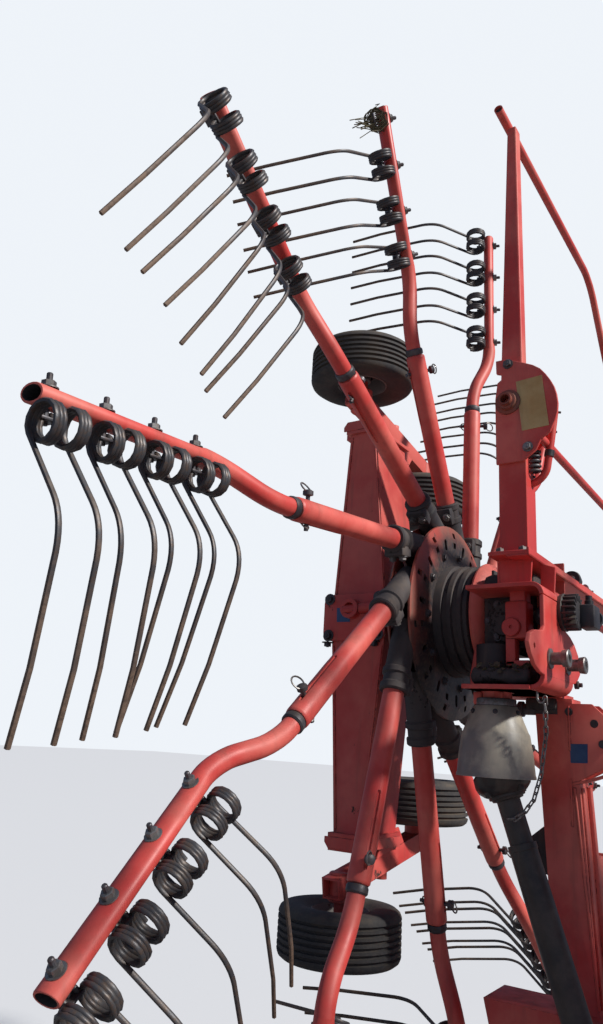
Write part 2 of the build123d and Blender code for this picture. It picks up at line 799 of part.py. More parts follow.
# Central frame
beam_rear_x = axle_x - beam_tail
beam_front_x = swivel_x + beam_past_swivel
with BuildPart() as main_frame:
    with Locations(((beam_rear_x + beam_front_x) / 2, 0, beam_top - beam_height / 2)):
        Box(beam_front_x - beam_rear_x, beam_width, beam_height)
    with BuildSketch(Plane.XY.offset(beam_bottom)):
        with Locations((swivel_x, 0)):
            Circle(swivel_dia / 2 + running_fit)
    extrude(amount=beam_height, mode=Mode.SUBTRACT)
    with Locations((hub_x + foot_x, 0, cross_top - cross_height / 2)):
        Box(cross_width, 2 * cross_half, cross_height)
    with Locations((hub_x + foot_x, 0, (cross_top + beam_bottom) / 2)):
        Box(cross_width, beam_width, beam_bottom - cross_top)
    for side in (1, -1):
        with Locations((hub_x + foot_x, side * (cross_half + end_plate / 2), cross_top - cross_height / 2)):
            Box(foot_length + 2 * (ear_play + ear_thick), end_plate, cross_height)
        for step in (-1, 1):
            x = hub_x + foot_x + step * (foot_length / 2 + ear_play + ear_thick / 2)
            with BuildSketch(Plane(origin=(x - ear_thick / 2, side * fold_y, fold_z), z_dir=(1, 0, 0))):
                Circle(ear_radius)
            extrude(amount=ear_thick)
            with Locations((x, side * (fold_y + cross_half + end_plate) / 2, fold_z)):
                Box(ear_thick, fold_y - cross_half - end_plate, 2 * ear_radius)
        with BuildSketch(Plane(origin=(hub_x + foot_x - foot_length / 2 - ear_play - ear_thick,
                                       side * fold_y, fold_z), z_dir=(1, 0, 0))):
            Circle(hinge_pin_dia / 2)
        extrude(amount=foot_length + 2 * (ear_play + ear_thick))
        # ears and pin for the fold cylinder's barrel
        for step in (-1, 1):
            x = hub_x + cylinder_x + step * (eye_half + fork_play + ear_thick / 2)
            with Locations((x, side * (beam_width / 2 + barrel_ear_reach / 2), barrel_ear_z)):
                Box(ear_thick, barrel_ear_reach, barrel_ear_height)
        with BuildSketch(Plane(origin=(hub_x + cylinder_x - eye_half - fork_play - ear_thick,
                                       side * barrel_pin_y, barrel_pin_z), z_dir=(1, 0, 0))):
            Circle(pin_dia / 2)
        extrude(amount=2 * (eye_half + fork_play + ear_thick))

# Transport axle under the rear of the frame
with BuildPart() as transport_axle:
    with Locations((axle_x, 0, road_radius)):
        Box(axle_tube, 2 * axle_half, axle_tube)
    with Locations((axle_x, 0, (road_radius + axle_tube / 2 + beam_bottom) / 2)):
        Box(post_length, beam_width, beam_bottom - road_radius - axle_tube / 2)
    with BuildSketch(Plane(origin=(axle_x, -road_track_half - hub_reach, road_radius), z_dir=(0, 1, 0))):
        Circle(road_axle_dia / 2)
    extrude(amount=2 * (road_track_half + hub_reach))

# Centre gearbox, hung under the beam, and its input shaft's tube to the front
joint_stop = shaft_ball / 2 + shaft_ball_play
with BuildPart() as centre_gearbox:
    with Locations((hub_x + input_x, 0, (shaft_joint_z - centre_box_low + beam_bottom) / 2)):
        Box(centre_box_length, centre_box_width, beam_bottom - shaft_joint_z + centre_box_low)
    with BuildSketch(Plane(origin=(hub_x + input_x, -shaft_joint_y + joint_stop, shaft_joint_z), z_dir=(0, 1, 0))):
        Circle(input_stub_dia / 2)
    extrude(amount=2 * (shaft_joint_y - joint_stop))

with BuildPart() as input_line:
    line_start = hub_x + input_x + centre_box_length / 2
    with BuildSketch(Plane(origin=(line_start, 0, line_z), z_dir=(1, 0, 0))):
        Circle(line_tube_dia / 2)
    extrude(amount=swivel_x + pto_past_swivel - line_start)
    with BuildSketch(Plane(origin=(swivel_x + pto_past_swivel, 0, line_z), z_dir=(1, 0, 0))):
        Circle(pto_dia / 2)
    extrude(amount=pto_length)
    for x in (hub_x + hanger_from_hub, swivel_x - hanger_before_swivel):
        with Locations((x, 0, (line_z + beam_bottom) / 2)):
            Box(hanger_thick, hanger_width, beam_bottom - line_z)

# Hitch headstock on its upright pivot
with BuildPart() as headstock:
    with BuildSketch(Plane.XY.offset(beam_top + swivel_play)):
        with Locations((swivel_x, 0)):
            Circle(swivel_dia / 2)
    extrude(amount=-(beam_height + 2 * swivel_play))
    for low in (beam_top + swivel_play, beam_bottom - swivel_play - swivel_plate):
        with Locations(((swivel_x - swivel_dia + cross_bar_x) / 2, 0, low + swivel_plate / 2)):
            Box(cross_bar_x - swivel_x + swivel_dia, swivel_width, swivel_plate)
    with Locations((cross_bar_x, 0, beam_top - beam_height / 2)):
        Box(cross_bar, 2 * cross_bar_half, beam_height + 2 * (swivel_play + swivel_plate))
    for side in (1, -1):
        with Locations(((cross_bar_x + hitch_x) / 2, side * (cross_bar_half - link_plate / 2),
                        (beam_top + hitch_z) / 2)):
            Box(bar_to_pins + 2 * link_margin, link_plate, beam_top - hitch_z + 2 * link_margin)
        with BuildSketch(Plane(origin=(hitch_x, side * (cross_bar_half - link_plate), hitch_z),
                               z_dir=(0, side, 0))):
            Circle(hitch_pin_dia / 2)
        extrude(amount=link_plate + hitch_pin_length)

# Parking jack beside the beam
with BuildPart() as jack_tube:
    with BuildSketch(Plane.XY.offset(jack_low)):
        with Locations((jack_x, jack_y)):
            Rectangle(jack_size, jack_size)
            Rectangle(jack_leg_size + 2 * jack_play, jack_leg_size + 2 * jack_play, mode=Mode.SUBTRACT)
    extrude(amount=jack_high - jack_low)
    with Locations((jack_x, (jack_y + jack_size / 2 - beam_width / 2) / 2, beam_top - beam_height / 2)):
        Box(jack_size, -(jack_y + jack_size / 2) - beam_width / 2, beam_height * 0.8)
    with Locations((jack_x, jack_y, jack_high + jack_cap / 2)):
        Box(jack_size, jack_size, jack_cap)
with BuildPart() as jack_leg:
    with Locations((jack_x, jack_y, (jack_foot_thick + jack_low + jack_engaged) / 2)):
        Box(jack_leg_size, jack_leg_size, jack_low + jack_engaged - jack_foot_thick)
    with Locations((jack_x, jack_y, jack_foot_thick / 2)):
        Box(jack_foot, jack_foot, jack_foot_thick)

# Wheels under the rotors: forward place, height from the hub, name
small_wheels = [
    (rear_wheel_x, rear_wheel_z, "outer_rear_wheel"),
    (front_wheel_x, front_wheel_z, "outer_front_wheel"),
    (rear_wheel_x, -rear_wheel_z, "inner_rear_wheel"),
    (front_wheel_x, -front_wheel_z, "inner_front_wheel"),
]
for x, z, name in small_wheels:
    small = wheel(at(x, small_wheel_drop, z), (0, 0, 1), small_tyre_dia, small_tyre_width, small_rim_dia,
                  small_axle_dia + 2 * running_fit)
    save_pair(small, name)

road_wheel = wheel((axle_x, road_track_half, road_radius), (0, 1, 0), road_tyre_dia, road_tyre_width,
                   road_rim_dia, road_axle_dia + 2 * running_fit)
save_pair(road_wheel, "road_wheel")

save_pair(rotor_head.part, "rotor_head")
save_pair(all_arms(), "rake_arms")
save(all_tines(arm_table), "tines_left")
save(mirror(all_tines(whole_table), about=Plane.XZ), "tines_right")
save_pair(gearbox.part, "gearbox")
save_pair(shaft_cone.part, "shaft_cone")
save_pair(cradle.part, "cradle")
save_pair(fold_arm.part, "fold_arm")
save_pair(axle_beam.part, "axle_beam")
save_pair(bogies.part, "bogies")
save_pair(guard_frame.part, "guard_frame")
save_pair(guard_hoop.part, "guard_hoop")
save_pair(shaft_tube.part, "drive_shaft_tube")
save_pair(shaft_rod.part, "drive_shaft_rod")
save_pair(cylinder_barrel.part, "fold_cylinder_barrel")
save_pair(cylinder_rod.part, "fold_cylinder_rod")
save(main_frame.part, "main_frame")
save(transport_axle.part, "transport_axle")
save(centre_gearbox.part, "centre_gearbox")
save(input_line.part, "input_line")
save(headstock.part, "headstock")
save(jack_tube.part, "jack_tube")
save(jack_leg.part, "jack_leg")
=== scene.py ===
import json
import math
import random
import bpy
from mathutils import Matrix, Vector

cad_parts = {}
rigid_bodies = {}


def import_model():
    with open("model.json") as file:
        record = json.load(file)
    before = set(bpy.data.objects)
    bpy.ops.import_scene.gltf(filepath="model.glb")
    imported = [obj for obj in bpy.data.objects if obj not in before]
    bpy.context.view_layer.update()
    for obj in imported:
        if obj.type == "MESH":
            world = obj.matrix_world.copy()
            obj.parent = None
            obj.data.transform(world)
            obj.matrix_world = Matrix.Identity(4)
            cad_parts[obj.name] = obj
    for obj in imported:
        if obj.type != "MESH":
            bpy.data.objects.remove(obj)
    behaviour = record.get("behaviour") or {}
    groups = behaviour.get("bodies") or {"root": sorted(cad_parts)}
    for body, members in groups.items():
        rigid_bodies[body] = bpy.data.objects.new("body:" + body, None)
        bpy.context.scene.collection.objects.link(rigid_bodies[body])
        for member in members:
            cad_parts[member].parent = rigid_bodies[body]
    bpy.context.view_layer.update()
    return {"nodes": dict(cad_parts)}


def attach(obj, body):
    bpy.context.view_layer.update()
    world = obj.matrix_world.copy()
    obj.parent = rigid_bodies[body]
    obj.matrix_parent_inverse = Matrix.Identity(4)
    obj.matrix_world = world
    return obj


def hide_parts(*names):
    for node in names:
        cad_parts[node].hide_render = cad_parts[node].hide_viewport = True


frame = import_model()

# Folded twin rotor rake, dressed over its CAD frame.  +X forward, +Y left, +Z up.
# Pieces are modelled for the left rotor and mirrored to the right one.  Sizes are given in
# millimetres; the modelling steps turn them into the frame's metres.
mm = 0.001
X = Vector((1, 0, 0))
Y = Vector((0, 1, 0))
Z = Vector((0, 0, 1))

# Places and sizes, as in the CAD model
hub = Vector((-300, 980, 2050))
arm_count = 11
first_arm_angle = 185.8
arm_lead = 219
bend_start = 890
bend_end = 1060
bend_rise = 59
bend_back = -48
arm_tip = 1575
tip_rise = 52
tip_back = 12
tine_pitch = 135
last_bolt = 1542
coil_back = 39
coil_down = 49
# Degrees that the cam turns each arm
arm_lifts = [86, 88, 49, 21, 15, 5, 0, 0, 0, 40, 87]
# Arm, double tine counted from the tip, and leg
lost_legs = {(1, 1, 1), (2, 0, 0), (2, 0, 1), (3, 3, 1), (10, 1, 1), (10, 2, 1)}
# By arm and double tine: how far each leg's tip lies along the arm and back
bent_legs = {
    (0, 0): ((-8, 4), (-14, 6)),
    (0, 1): ((-18, 10), (-16, 8)),
    (0, 2): ((12, -10), (20, -4)),
    (0, 3): ((38, -6), (36, -4)),
    (1, 1): ((12, 16), (12, 16)),
    (1, 2): ((-14, 6), (-18, 4)),
    (3, 2): ((-12, 12), (-14, 12)),
}
wheel_drop = 304
hinge_y = 720
hinge_z = 750
swivel_x = 2120
axle_x = -2150
axle_z = 380
hoop_y = -312
label_step = -1.2
# Name, forward and upward from the hub
small_wheels = [
    ("outer_rear_wheel", -35, 922),
    ("outer_front_wheel", 469, 563),
    ("inner_rear_wheel", -35, -922),
    ("inner_front_wheel", 469, -563),
]


def at(x, y, z):
    """A point given from the left rotor's hub: forward, to the left, up."""
    return hub + Vector((x, y, z))


zero = Vector((0, 0, 0))
input_axis = at(-170, -235, 0)


def arm_place(number, lift):
    """Arm frame: x out along the arm, y to the trailing side, z away from the tines."""
    angle = math.radians(first_arm_angle - number * 360 / arm_count)
    along = Vector((math.cos(angle), 0, math.sin(angle)))
    trail = Vector((-math.sin(angle), 0, math.cos(angle)))
    place = Matrix((along, trail, -Y)).transposed().to_4x4()
    place.translation = hub - trail * arm_lead
    return place @ Matrix.Rotation(math.radians(lift), 4, "X")


def stretch_at(r):
    """The tine stretch's axis in the arm frame at a distance r out."""
    share = (r - bend_end) / (arm_tip - bend_end)
    back = bend_back + (tip_back - bend_back) * share
    return Vector((r, back, bend_rise + (tip_rise - bend_rise) * share))


# Effects that several finishes share

def effect(name, inputs, outputs):
    """A shader node group with named float inputs and outputs."""
    tree = bpy.data.node_groups.new(name, "ShaderNodeTree")
    for label, value in inputs:
        socket = tree.interface.new_socket(label, in_out="INPUT", socket_type="NodeSocketFloat")
        socket.default_value = value
    for label in outputs:
        tree.interface.new_socket(label, in_out="OUTPUT", socket_type="NodeSocketFloat")
    return tree, tree.nodes.new("NodeGroupInput"), tree.nodes.new("NodeGroupOutput")


def give(tree, socket, value):
    """Links a result to an input, or sets the input's own value."""
    if isinstance(value, bpy.types.NodeSocket):
        tree.links.new(value, socket)
    else:
        socket.default_value = value


def put(tree, kind, settings=(), **values):
    """Adds a node, with its properties and the values of its named inputs."""
    node = tree.nodes.new(kind)
    for label, value in dict(settings).items():
        setattr(node, label, value)
    for label, value in values.items():
        give(tree, node.inputs[label.replace("_", " ")], value)
    return node


def maths(tree, operation, first, second=0.0, clamp=False):
    """One Math node and its result."""
    node = tree.nodes.new("ShaderNodeMath")
    node.operation = operation
    node.use_clamp = clamp
    give(tree, node.inputs[0], first)
    give(tree, node.inputs[1], second)
    return node.outputs[0]


def ramped(tree, value, low, high):
    """The value's stretch from low to high as a smooth mask from 0 to 1."""
    node = put(tree, "ShaderNodeMapRange", {"interpolation_type": "SMOOTHSTEP"}, Value=value)
    node.inputs["From Min"].default_value = low
    node.inputs["From Max"].default_value = high
    return node.outputs[0]


def mixed(tree, mask, first, second):
    """Two colours mixed by a mask."""
    node = tree.nodes.new("ShaderNodeMix")
    node.data_type = "RGBA"
    for number, value in ((0, mask), (6, first), (7, second)):
        give(tree, node.inputs[number], value)
    return node.outputs[2]


def noise(tree, scale, detail, roughness=0.5, place=None):
    """A noise's value on object coordinates, or on those given."""
    if place is None:
        place = tree.nodes.new("ShaderNodeTexCoord").outputs["Object"]
    return put(tree, "ShaderNodeTexNoise", Vector=place, Scale=scale, Detail=detail,
        Roughness=roughness).outputs[0]


def make_blotches():
    """Large soft patches and fine speckle, on object coordinates."""
    tree, given, out = effect("blotches", [("Scale", 3.0)], ["Patches", "Speckle", "Grain"])
    large = noise(tree, given.outputs["Scale"], 6.0, 0.6)
    tree.links.new(ramped(tree, large, 0.36, 0.66), out.inputs["Patches"])
    tree.links.new(ramped(tree, noise(tree, 95.0, 4.0, 0.7), 0.42, 0.7), out.inputs["Speckle"])
    tree.links.new(noise(tree, 420.0, 3.0, 0.6), out.inputs["Grain"])
    return tree


def make_edge_wear():
    """Where a hard edge is rubbed through, broken up by noise."""
    tree, given, out = effect("edge wear", [("Radius", 0.004), ("Amount", 1.0)], ["Wear"])
    rounded = put(tree, "ShaderNodeBevel", {"samples": 6}, Radius=given.outputs["Radius"])
    flat = tree.nodes.new("ShaderNodeNewGeometry")
    dot = put(tree, "ShaderNodeVectorMath", {"operation": "DOT_PRODUCT"})
    tree.links.new(rounded.outputs[0], dot.inputs[0])
    tree.links.new(flat.outputs["Normal"], dot.inputs[1])
    edge = ramped(tree, maths(tree, "SUBTRACT", 1.0, dot.outputs["Value"]), 0.015, 0.16)
    gaps = ramped(tree, noise(tree, 38.0, 8.0, 0.72), 0.44, 0.60)
    worn = maths(tree, "MULTIPLY", edge, gaps)
    tree.links.new(maths(tree, "MULTIPLY", worn, given.outputs["Amount"], True), out.inputs["Wear"])
    return tree


def make_chips():
    """Scattered chips and scrapes away from the edges."""
    tree, given, out = effect("chips", [("Scale", 16.0), ("Share", 0.3)], ["Chips"])
    coarse = noise(tree, given.outputs["Scale"], 10.0, 0.78)
    level = maths(tree, "ADD", coarse, maths(tree, "MULTIPLY", noise(tree, 2.3, 2.0), 0.35))
    limit = maths(tree, "SUBTRACT", 1.0, maths(tree, "MULTIPLY", given.outputs["Share"], 0.35))
    node = put(tree, "ShaderNodeMapRange", {"interpolation_type": "SMOOTHSTEP"}, Value=level)
    tree.links.new(maths(tree, "SUBTRACT", limit, 0.012), node.inputs["From Min"])
    tree.links.new(maths(tree, "ADD", limit, 0.012), node.inputs["From Max"])
    tree.links.new(node.outputs[0], out.inputs["Chips"])
    return tree


def make_dust():
    """Dust that settles on what faces up, and grime that runs down what stands."""
    tree, given, out = effect("dust", [("Amount", 0.5), ("Grime", 0.3)], ["Dust", "Streaks"])
    normal = tree.nodes.new("ShaderNodeNewGeometry").outputs["Normal"]
    up = put(tree, "ShaderNodeSeparateXYZ", Vector=normal).outputs["Z"]
    level = ramped(tree, up, -0.35, 1.0)
    place = tree.nodes.new("ShaderNodeTexCoord").outputs["Object"]
    patchy = noise(tree, 11.0, 7.0, 0.65, place)
    cover = maths(tree, "MULTIPLY", level, ramped(tree, patchy, 0.34, 0.72))
    tree.links.new(maths(tree, "MULTIPLY", cover, given.outputs["Amount"], True), out.inputs["Dust"])
    long = put(tree, "ShaderNodeMapping", Vector=place)
    long.inputs["Scale"].default_value = (26.0, 26.0, 3.0)
    streak = ramped(tree, noise(tree, 1.0, 5.0, 0.6, long.outputs[0]), 0.5, 0.78)
    tree.links.new(maths(tree, "MULTIPLY", streak, given.outputs["Grime"], True), out.inputs["Streaks"])
    return tree


blotches = make_blotches()
edge_wear = make_edge_wear()
chips = make_chips()
dust = make_dust()


def use(tree, group, **values):
    """Places an effect in a material with its own values."""
    node = tree.nodes.new("ShaderNodeGroup")
    node.node_tree = group
    for label, value in values.items():
        node.inputs[label].default_value = value
    return node


def rgb(red, green, blue):
    """A colour as seen on the screen, as the shader's linear value."""
    return tuple(((c / 255 + 0.055) / 1.055) ** 2.4 if c > 10 else c / 3295
        for c in (red, green, blue)) + (1.0,)


def new_finish(name, roughness, metallic=0.0):
    """An empty material, its tree and its Principled shader."""
    material = bpy.data.materials.new(name)
    material.use_nodes = True
    tree = material.node_tree
    shader = tree.nodes["Principled BSDF"]
    shader.inputs["Roughness"].default_value = roughness
    shader.inputs["Metallic"].default_value = metallic
    return material, tree, shader


def dressed(tree, shader, colour, rough, height, strength, distance):
    """Feeds a colour, a roughness and a height to the shader."""
    tree.links.new(colour, shader.inputs["Base Color"])
    if rough:
        tree.links.new(rough, shader.inputs["Roughness"])
    bump = put(tree, "ShaderNodeBump", Height=height)
    bump.inputs["Strength"].default_value = strength
    bump.inputs["Distance"].default_value = distance
    tree.links.new(bump.outputs[0], shader.inputs["Normal"])


def painted(name, fresh, faded, bare, dirt, wear=1.0, share=0.3, settle=0.5, grime=0.35, roughness=0.42,
        scale=3.0):
    """Old paint: faded patches, grime, dust, chips to the bare metal, and a dark greyish brown where the
    soil mark is set, which on the rotor plates is soil near the axis and a darkening towards the bottom.
    """
    material, tree, shader = new_finish(name, roughness)
    patches = use(tree, blotches, Scale=scale)
    rubbed = use(tree, edge_wear, Amount=wear)
    chipped = use(tree, chips, Share=share)
    settled = use(tree, dust, Amount=settle, Grime=grime)
    colour = mixed(tree, patches.outputs["Patches"], fresh, faded)
    colour = mixed(tree, settled.outputs["Streaks"], colour, dirt)
    through = maths(tree, "MAXIMUM", rubbed.outputs["Wear"], chipped.outputs["Chips"])
    rusty = mixed(tree, patches.outputs["Speckle"], bare, tuple(0.35 * c for c in bare[:3]) + (1.0,))
    colour = mixed(tree, through, colour, rusty)
    colour = mixed(tree, settled.outputs["Dust"], colour, dirt)
    # The soil mark's dark greyish brown: soil near the rotor axis, and the rotor plates made darker towards
    # the bottom.
    held = put(tree, "ShaderNodeAttribute", {"attribute_name": "soil"}).outputs["Fac"]
    soil_and_low_dark = maths(tree, "MULTIPLY", held, maths(tree, "ADD", patches.outputs["Patches"], 0.65), True)
    soil_and_low_dark_colour = mixed(tree, patches.outputs["Speckle"], rgb(40, 36, 40), rgb(78, 66, 58))
    colour = mixed(tree, soil_and_low_dark, colour, soil_and_low_dark_colour)
    matt = maths(tree, "ADD", maths(tree, "MULTIPLY", settled.outputs["Dust"], 0.45),
        maths(tree, "MULTIPLY", through, 0.35))
    rough = maths(tree, "ADD", matt, maths(tree, "MULTIPLY", patches.outputs["Patches"], 0.14), True)
    base = maths(tree, "ADD", rough, roughness, True)
    height = maths(tree, "SUBTRACT", maths(tree, "MULTIPLY", patches.outputs["Grain"], 0.25), through)
    dressed(tree, shader, colour, base, height, 0.35, 0.0006)
    return material


def bare_metal(name, light, dark, rust, roughness=0.45, metallic=0.8, share=0.5):
    """Dull metal with tarnish and spots of rust."""
    material, tree, shader = new_finish(name, roughness, metallic)
    patches = use(tree, blotches, Scale=14.0)
    settled = use(tree, dust, Amount=0.35, Grime=0.3)
    colour = mixed(tree, patches.outputs["Patches"], light, dark)
    spots = maths(tree, "MULTIPLY", patches.outputs["Speckle"], share)
    colour = mixed(tree, spots, colour, rust)
    colour = mixed(tree, settled.outputs["Dust"], colour, rgb(128, 116, 98))
    rough = maths(tree, "ADD", maths(tree, "MULTIPLY", spots, 0.3), roughness, True)
    dressed(tree, shader, colour, rough, patches.outputs["Grain"], 0.3, 0.0004)
    return material


def spring_steel():
    """Tine wire: black oil finish at the coils, rust brown towards the tips."""
    material, tree, shader = new_finish("tine steel", 0.5, 0.3)
    patches = use(tree, blotches, Scale=22.0)
    settled = use(tree, dust, Amount=0.3, Grime=0.2)
    reach = put(tree, "ShaderNodeAttribute", {"attribute_name": "reach"}).outputs["Fac"]
    uneven = maths(tree, "MULTIPLY", patches.outputs["Patches"], 0.45)
    along = ramped(tree, maths(tree, "ADD", reach, maths(tree, "SUBTRACT", uneven, 0.2)), 0.15, 0.95)
    colour = mixed(tree, along, rgb(66, 67, 72), rgb(118, 98, 84))
    colour = mixed(tree, patches.outputs["Speckle"], colour, rgb(84, 70, 62))
    colour = mixed(tree, settled.outputs["Dust"], colour, rgb(128, 118, 102))
    rough = maths(tree, "ADD", maths(tree, "MULTIPLY", along, 0.25), 0.45, True)
    dressed(tree, shader, colour, rough, patches.outputs["Grain"], 0.4, 0.0005)
    return material


def rubber():
    """Tyre rubber: dusty flanks, dry mud where the tread holds it."""
    material, tree, shader = new_finish("tyre rubber", 0.8)
    patches = use(tree, blotches, Scale=9.0)
    settled = use(tree, dust, Amount=0.35, Grime=0.0)
    held = put(tree, "ShaderNodeAttribute", {"attribute_name": "mud"}).outputs["Fac"]
    muddy = maths(tree, "MULTIPLY", held, patches.outputs["Patches"], True)
    colour = mixed(tree, patches.outputs["Speckle"], rgb(47, 48, 52), rgb(62, 61, 62))
    colour = mixed(tree, maths(tree, "MULTIPLY", muddy, 0.8), colour, rgb(96, 84, 70))
    colour = mixed(tree, settled.outputs["Dust"], colour, rgb(112, 103, 90))
    height = maths(tree, "ADD", patches.outputs["Grain"], muddy)
    dressed(tree, shader, colour, None, height, 0.4, 0.0008)
    return material


def plastic(name, colour, pale, roughness):
    """Scuffed moulded plastic."""
    material, tree, shader = new_finish(name, roughness)
    patches = use(tree, blotches, Scale=12.0)
    rubbed = use(tree, edge_wear, Amount=0.7)
    settled = use(tree, dust, Amount=0.6, Grime=0.3)
    tone = mixed(tree, patches.outputs["Patches"], colour, pale)
    tone = mixed(tree, rubbed.outputs["Wear"], tone, pale)
    tone = mixed(tree, settled.outputs["Streaks"], tone, rgb(118, 104, 86))
    tone = mixed(tree, settled.outputs["Dust"], tone, rgb(128, 118, 102))
    rough = maths(tree, "ADD", maths(tree, "MULTIPLY", patches.outputs["Patches"], 0.15), roughness, True)
    dressed(tree, shader, tone, rough, patches.outputs["Grain"], 0.25, 0.0004)
    return material


red_paint = painted("red paint", rgb(200, 62, 58), rgb(222, 112, 100), rgb(70, 52, 46), rgb(108, 74, 62))
dirty_red = painted("dirty red paint", rgb(168, 66, 54), rgb(140, 76, 60), rgb(72, 56, 48),
    rgb(104, 94, 84), share=0.5, settle=0.9, grime=0.9)
hub_grime = painted("greasy hub casting", rgb(44, 42, 47), rgb(68, 63, 64), rgb(40, 36, 38),
    rgb(92, 80, 72), share=0.6, settle=0.8, grime=0.7, roughness=0.6, scale=8.0)
black_paint = painted("black paint", rgb(38, 39, 44), rgb(56, 56, 60), rgb(92, 74, 62), rgb(110, 102, 92))
rim_paint = painted("rim paint", rgb(96, 94, 96), rgb(120, 116, 112), rgb(84, 66, 56), rgb(112, 102, 88),
    share=0.6, settle=0.7)
zinc = bare_metal("dull zinc", rgb(150, 150, 150), rgb(104, 102, 102), rgb(96, 72, 58))
dark_bolt = bare_metal("oiled bolt steel", rgb(92, 92, 98), rgb(58, 58, 64), rgb(86, 62, 50), metallic=0.5)
chrome = bare_metal("polished rod", rgb(196, 198, 202), rgb(172, 174, 178), rgb(150, 140, 130), 0.16, 1.0,
    0.1)
tine_steel = spring_steel()
tyre_rubber = rubber()
black_plastic = plastic("black plastic", rgb(34, 34, 40), rgb(52, 52, 58), 0.4)
shaft_plastic = plastic("dusty guard plastic", rgb(36, 35, 38), rgb(66, 60, 57), 0.34)
cone_plastic = plastic("weathered cone", rgb(132, 130, 125), rgb(188, 180, 162), 0.42)
chipped_red = painted("chipped red paint", rgb(190, 56, 54), rgb(208, 98, 88), rgb(58, 46, 42),
    rgb(104, 74, 62), wear=1.3, share=0.5, settle=0.5, grime=0.4)
dry_grass = plastic("dry grass", rgb(62, 56, 44), rgb(104, 98, 78), 0.85)
plate_yellow = plastic("blank yellow plate", rgb(186, 152, 96), rgb(204, 178, 124), 0.55)
plate_blue = plastic("blank blue plate", rgb(26, 62, 112), rgb(52, 88, 132), 0.5)


# Modelling steps

def deselect():
    bpy.ops.object.select_all(action="DESELECT")


def select_mesh():
    bpy.ops.mesh.select_all(action="SELECT")


def facing(direction):
    """The turn that points a new primitive's face along a direction."""
    return Vector(direction).to_track_quat("Z", "Y").to_euler()


def start_round(name, centre, direction, radius, sides):
    """Starts a piece as a round face, in edit mode."""
    deselect()
    bpy.ops.mesh.primitive_circle_add(vertices=sides, radius=radius * mm, fill_type="NGON",
        location=Vector(centre) * mm, rotation=facing(direction))
    piece = bpy.context.active_object
    piece.name = name
    bpy.ops.object.mode_set(mode="EDIT")
    return piece


def pull(step):
    """Extrudes what is selected by a step."""
    bpy.ops.mesh.extrude_region_move(TRANSFORM_OT_translate={"value": Vector(step) * mm})


def widen(centre, factor):
    """Scales what is selected about a centre."""
    bpy.ops.transform.resize(value=(factor, factor, factor), center_override=centre * mm)


def close_up(piece, angle=35):
    """Ends a piece: normals outwards, place in the mesh, smooth but for its hard edges."""
    select_mesh()
    bpy.ops.mesh.normals_make_consistent(inside=False)
    bpy.ops.object.mode_set(mode="OBJECT")
    bpy.ops.object.transform_apply()
    bpy.ops.object.shade_smooth_by_angle(angle=math.radians(angle))
    return piece


def turned(name, origin, axis, stations, material, sides=24, angle=35):
    """A turned piece: each station gives the distance along the axis and the radius."""
    axis = Vector(axis).normalized()
    origin = Vector(origin)
    place, radius = stations[0]
    piece = start_round(name, origin + axis * place, axis, radius, sides)
    for next_place, next_radius in stations[1:]:
        pull(axis * (next_place - place))
        if next_radius != radius:
            widen(origin + axis * next_place, next_radius / radius)
        place, radius = next_place, next_radius
    close_up(piece, angle)
    piece.data.materials.append(material)
    return piece


def lathed(name, origin, axis, profile, material, sides=48, angle=35):
    """A piece spun from a profile of distances along the axis and radii; a closed profile makes a ring."""
    axis = Vector(axis).normalized()
    aside = axis.orthogonal().normalized()
    piece = trace(name, [Vector(origin) + axis * place + aside * radius for place, radius in profile])
    select_mesh()
    bpy.ops.mesh.spin(steps=sides, angle=math.tau, center=Vector(origin) * mm, axis=axis)
    select_mesh()
    bpy.ops.mesh.remove_doubles(threshold=0.00005)
    close_up(piece, angle)
    piece.data.materials.append(material)
    return piece


def apply_modifier(piece, kind, **settings):
    """Adds a modifier with its settings and applies it."""
    deselect()
    piece.select_set(True)
    bpy.context.view_layer.objects.active = piece
    modifier = piece.modifiers.new(kind, kind)
    for label, value in settings.items():
        setattr(modifier, label, value)
    bpy.ops.object.modifier_apply(modifier=modifier.name)


def soften(piece, width, segments=2):
    """Rounds the hard edges."""
    apply_modifier(piece, "BEVEL", width=width * mm, segments=segments, limit_method="ANGLE",
        angle_limit=math.radians(30))
    bpy.ops.object.shade_smooth_by_angle(angle=math.radians(40))
    return piece


def block(name, low, high, material, bevel=3):
    """A plate or block between two corners, with rounded edges."""
    deselect()
    low, high = Vector(low), Vector(high)
    bpy.ops.mesh.primitive_cube_add(size=1, location=(low + high) / 2 * mm, scale=(high - low) * mm)
    piece = bpy.context.active_object
    piece.name = name
    bpy.ops.object.transform_apply()
    piece.data.materials.append(material)
    return soften(piece, bevel)


def bar(name, start, end, size, material, up=Z, bevel=4):
    """A straight bar of rectangular section: size is across and along up."""
    start, end = Vector(start), Vector(end)
    along = (end - start).normalized()
    aside = Vector(up).cross(along).normalized()
    turn = Matrix((aside, along.cross(aside), along)).transposed().to_euler()
    deselect()
    bpy.ops.mesh.primitive_cube_add(size=1, location=(start + end) / 2 * mm, rotation=turn,
        scale=Vector((size[0], size[1], (end - start).length)) * mm)
    piece = bpy.context.active_object
    piece.name = name
    bpy.ops.object.transform_apply()
    piece.data.materials.append(material)
    return soften(piece, bevel)


def trace(name, points):
    """Starts a piece as a line of edges through the points, in edit mode."""
    deselect()
    bpy.ops.mesh.primitive_plane_add(size=0.01, location=Vector(points[0]) * mm)
    piece = bpy.context.active_object
    piece.name = name
    bpy.ops.object.mode_set(mode="EDIT")
    bpy.ops.mesh.merge(type="CENTER")
    for start, end in zip(points, points[1:]):
        pull(Vector(end) - Vector(start))
    return piece


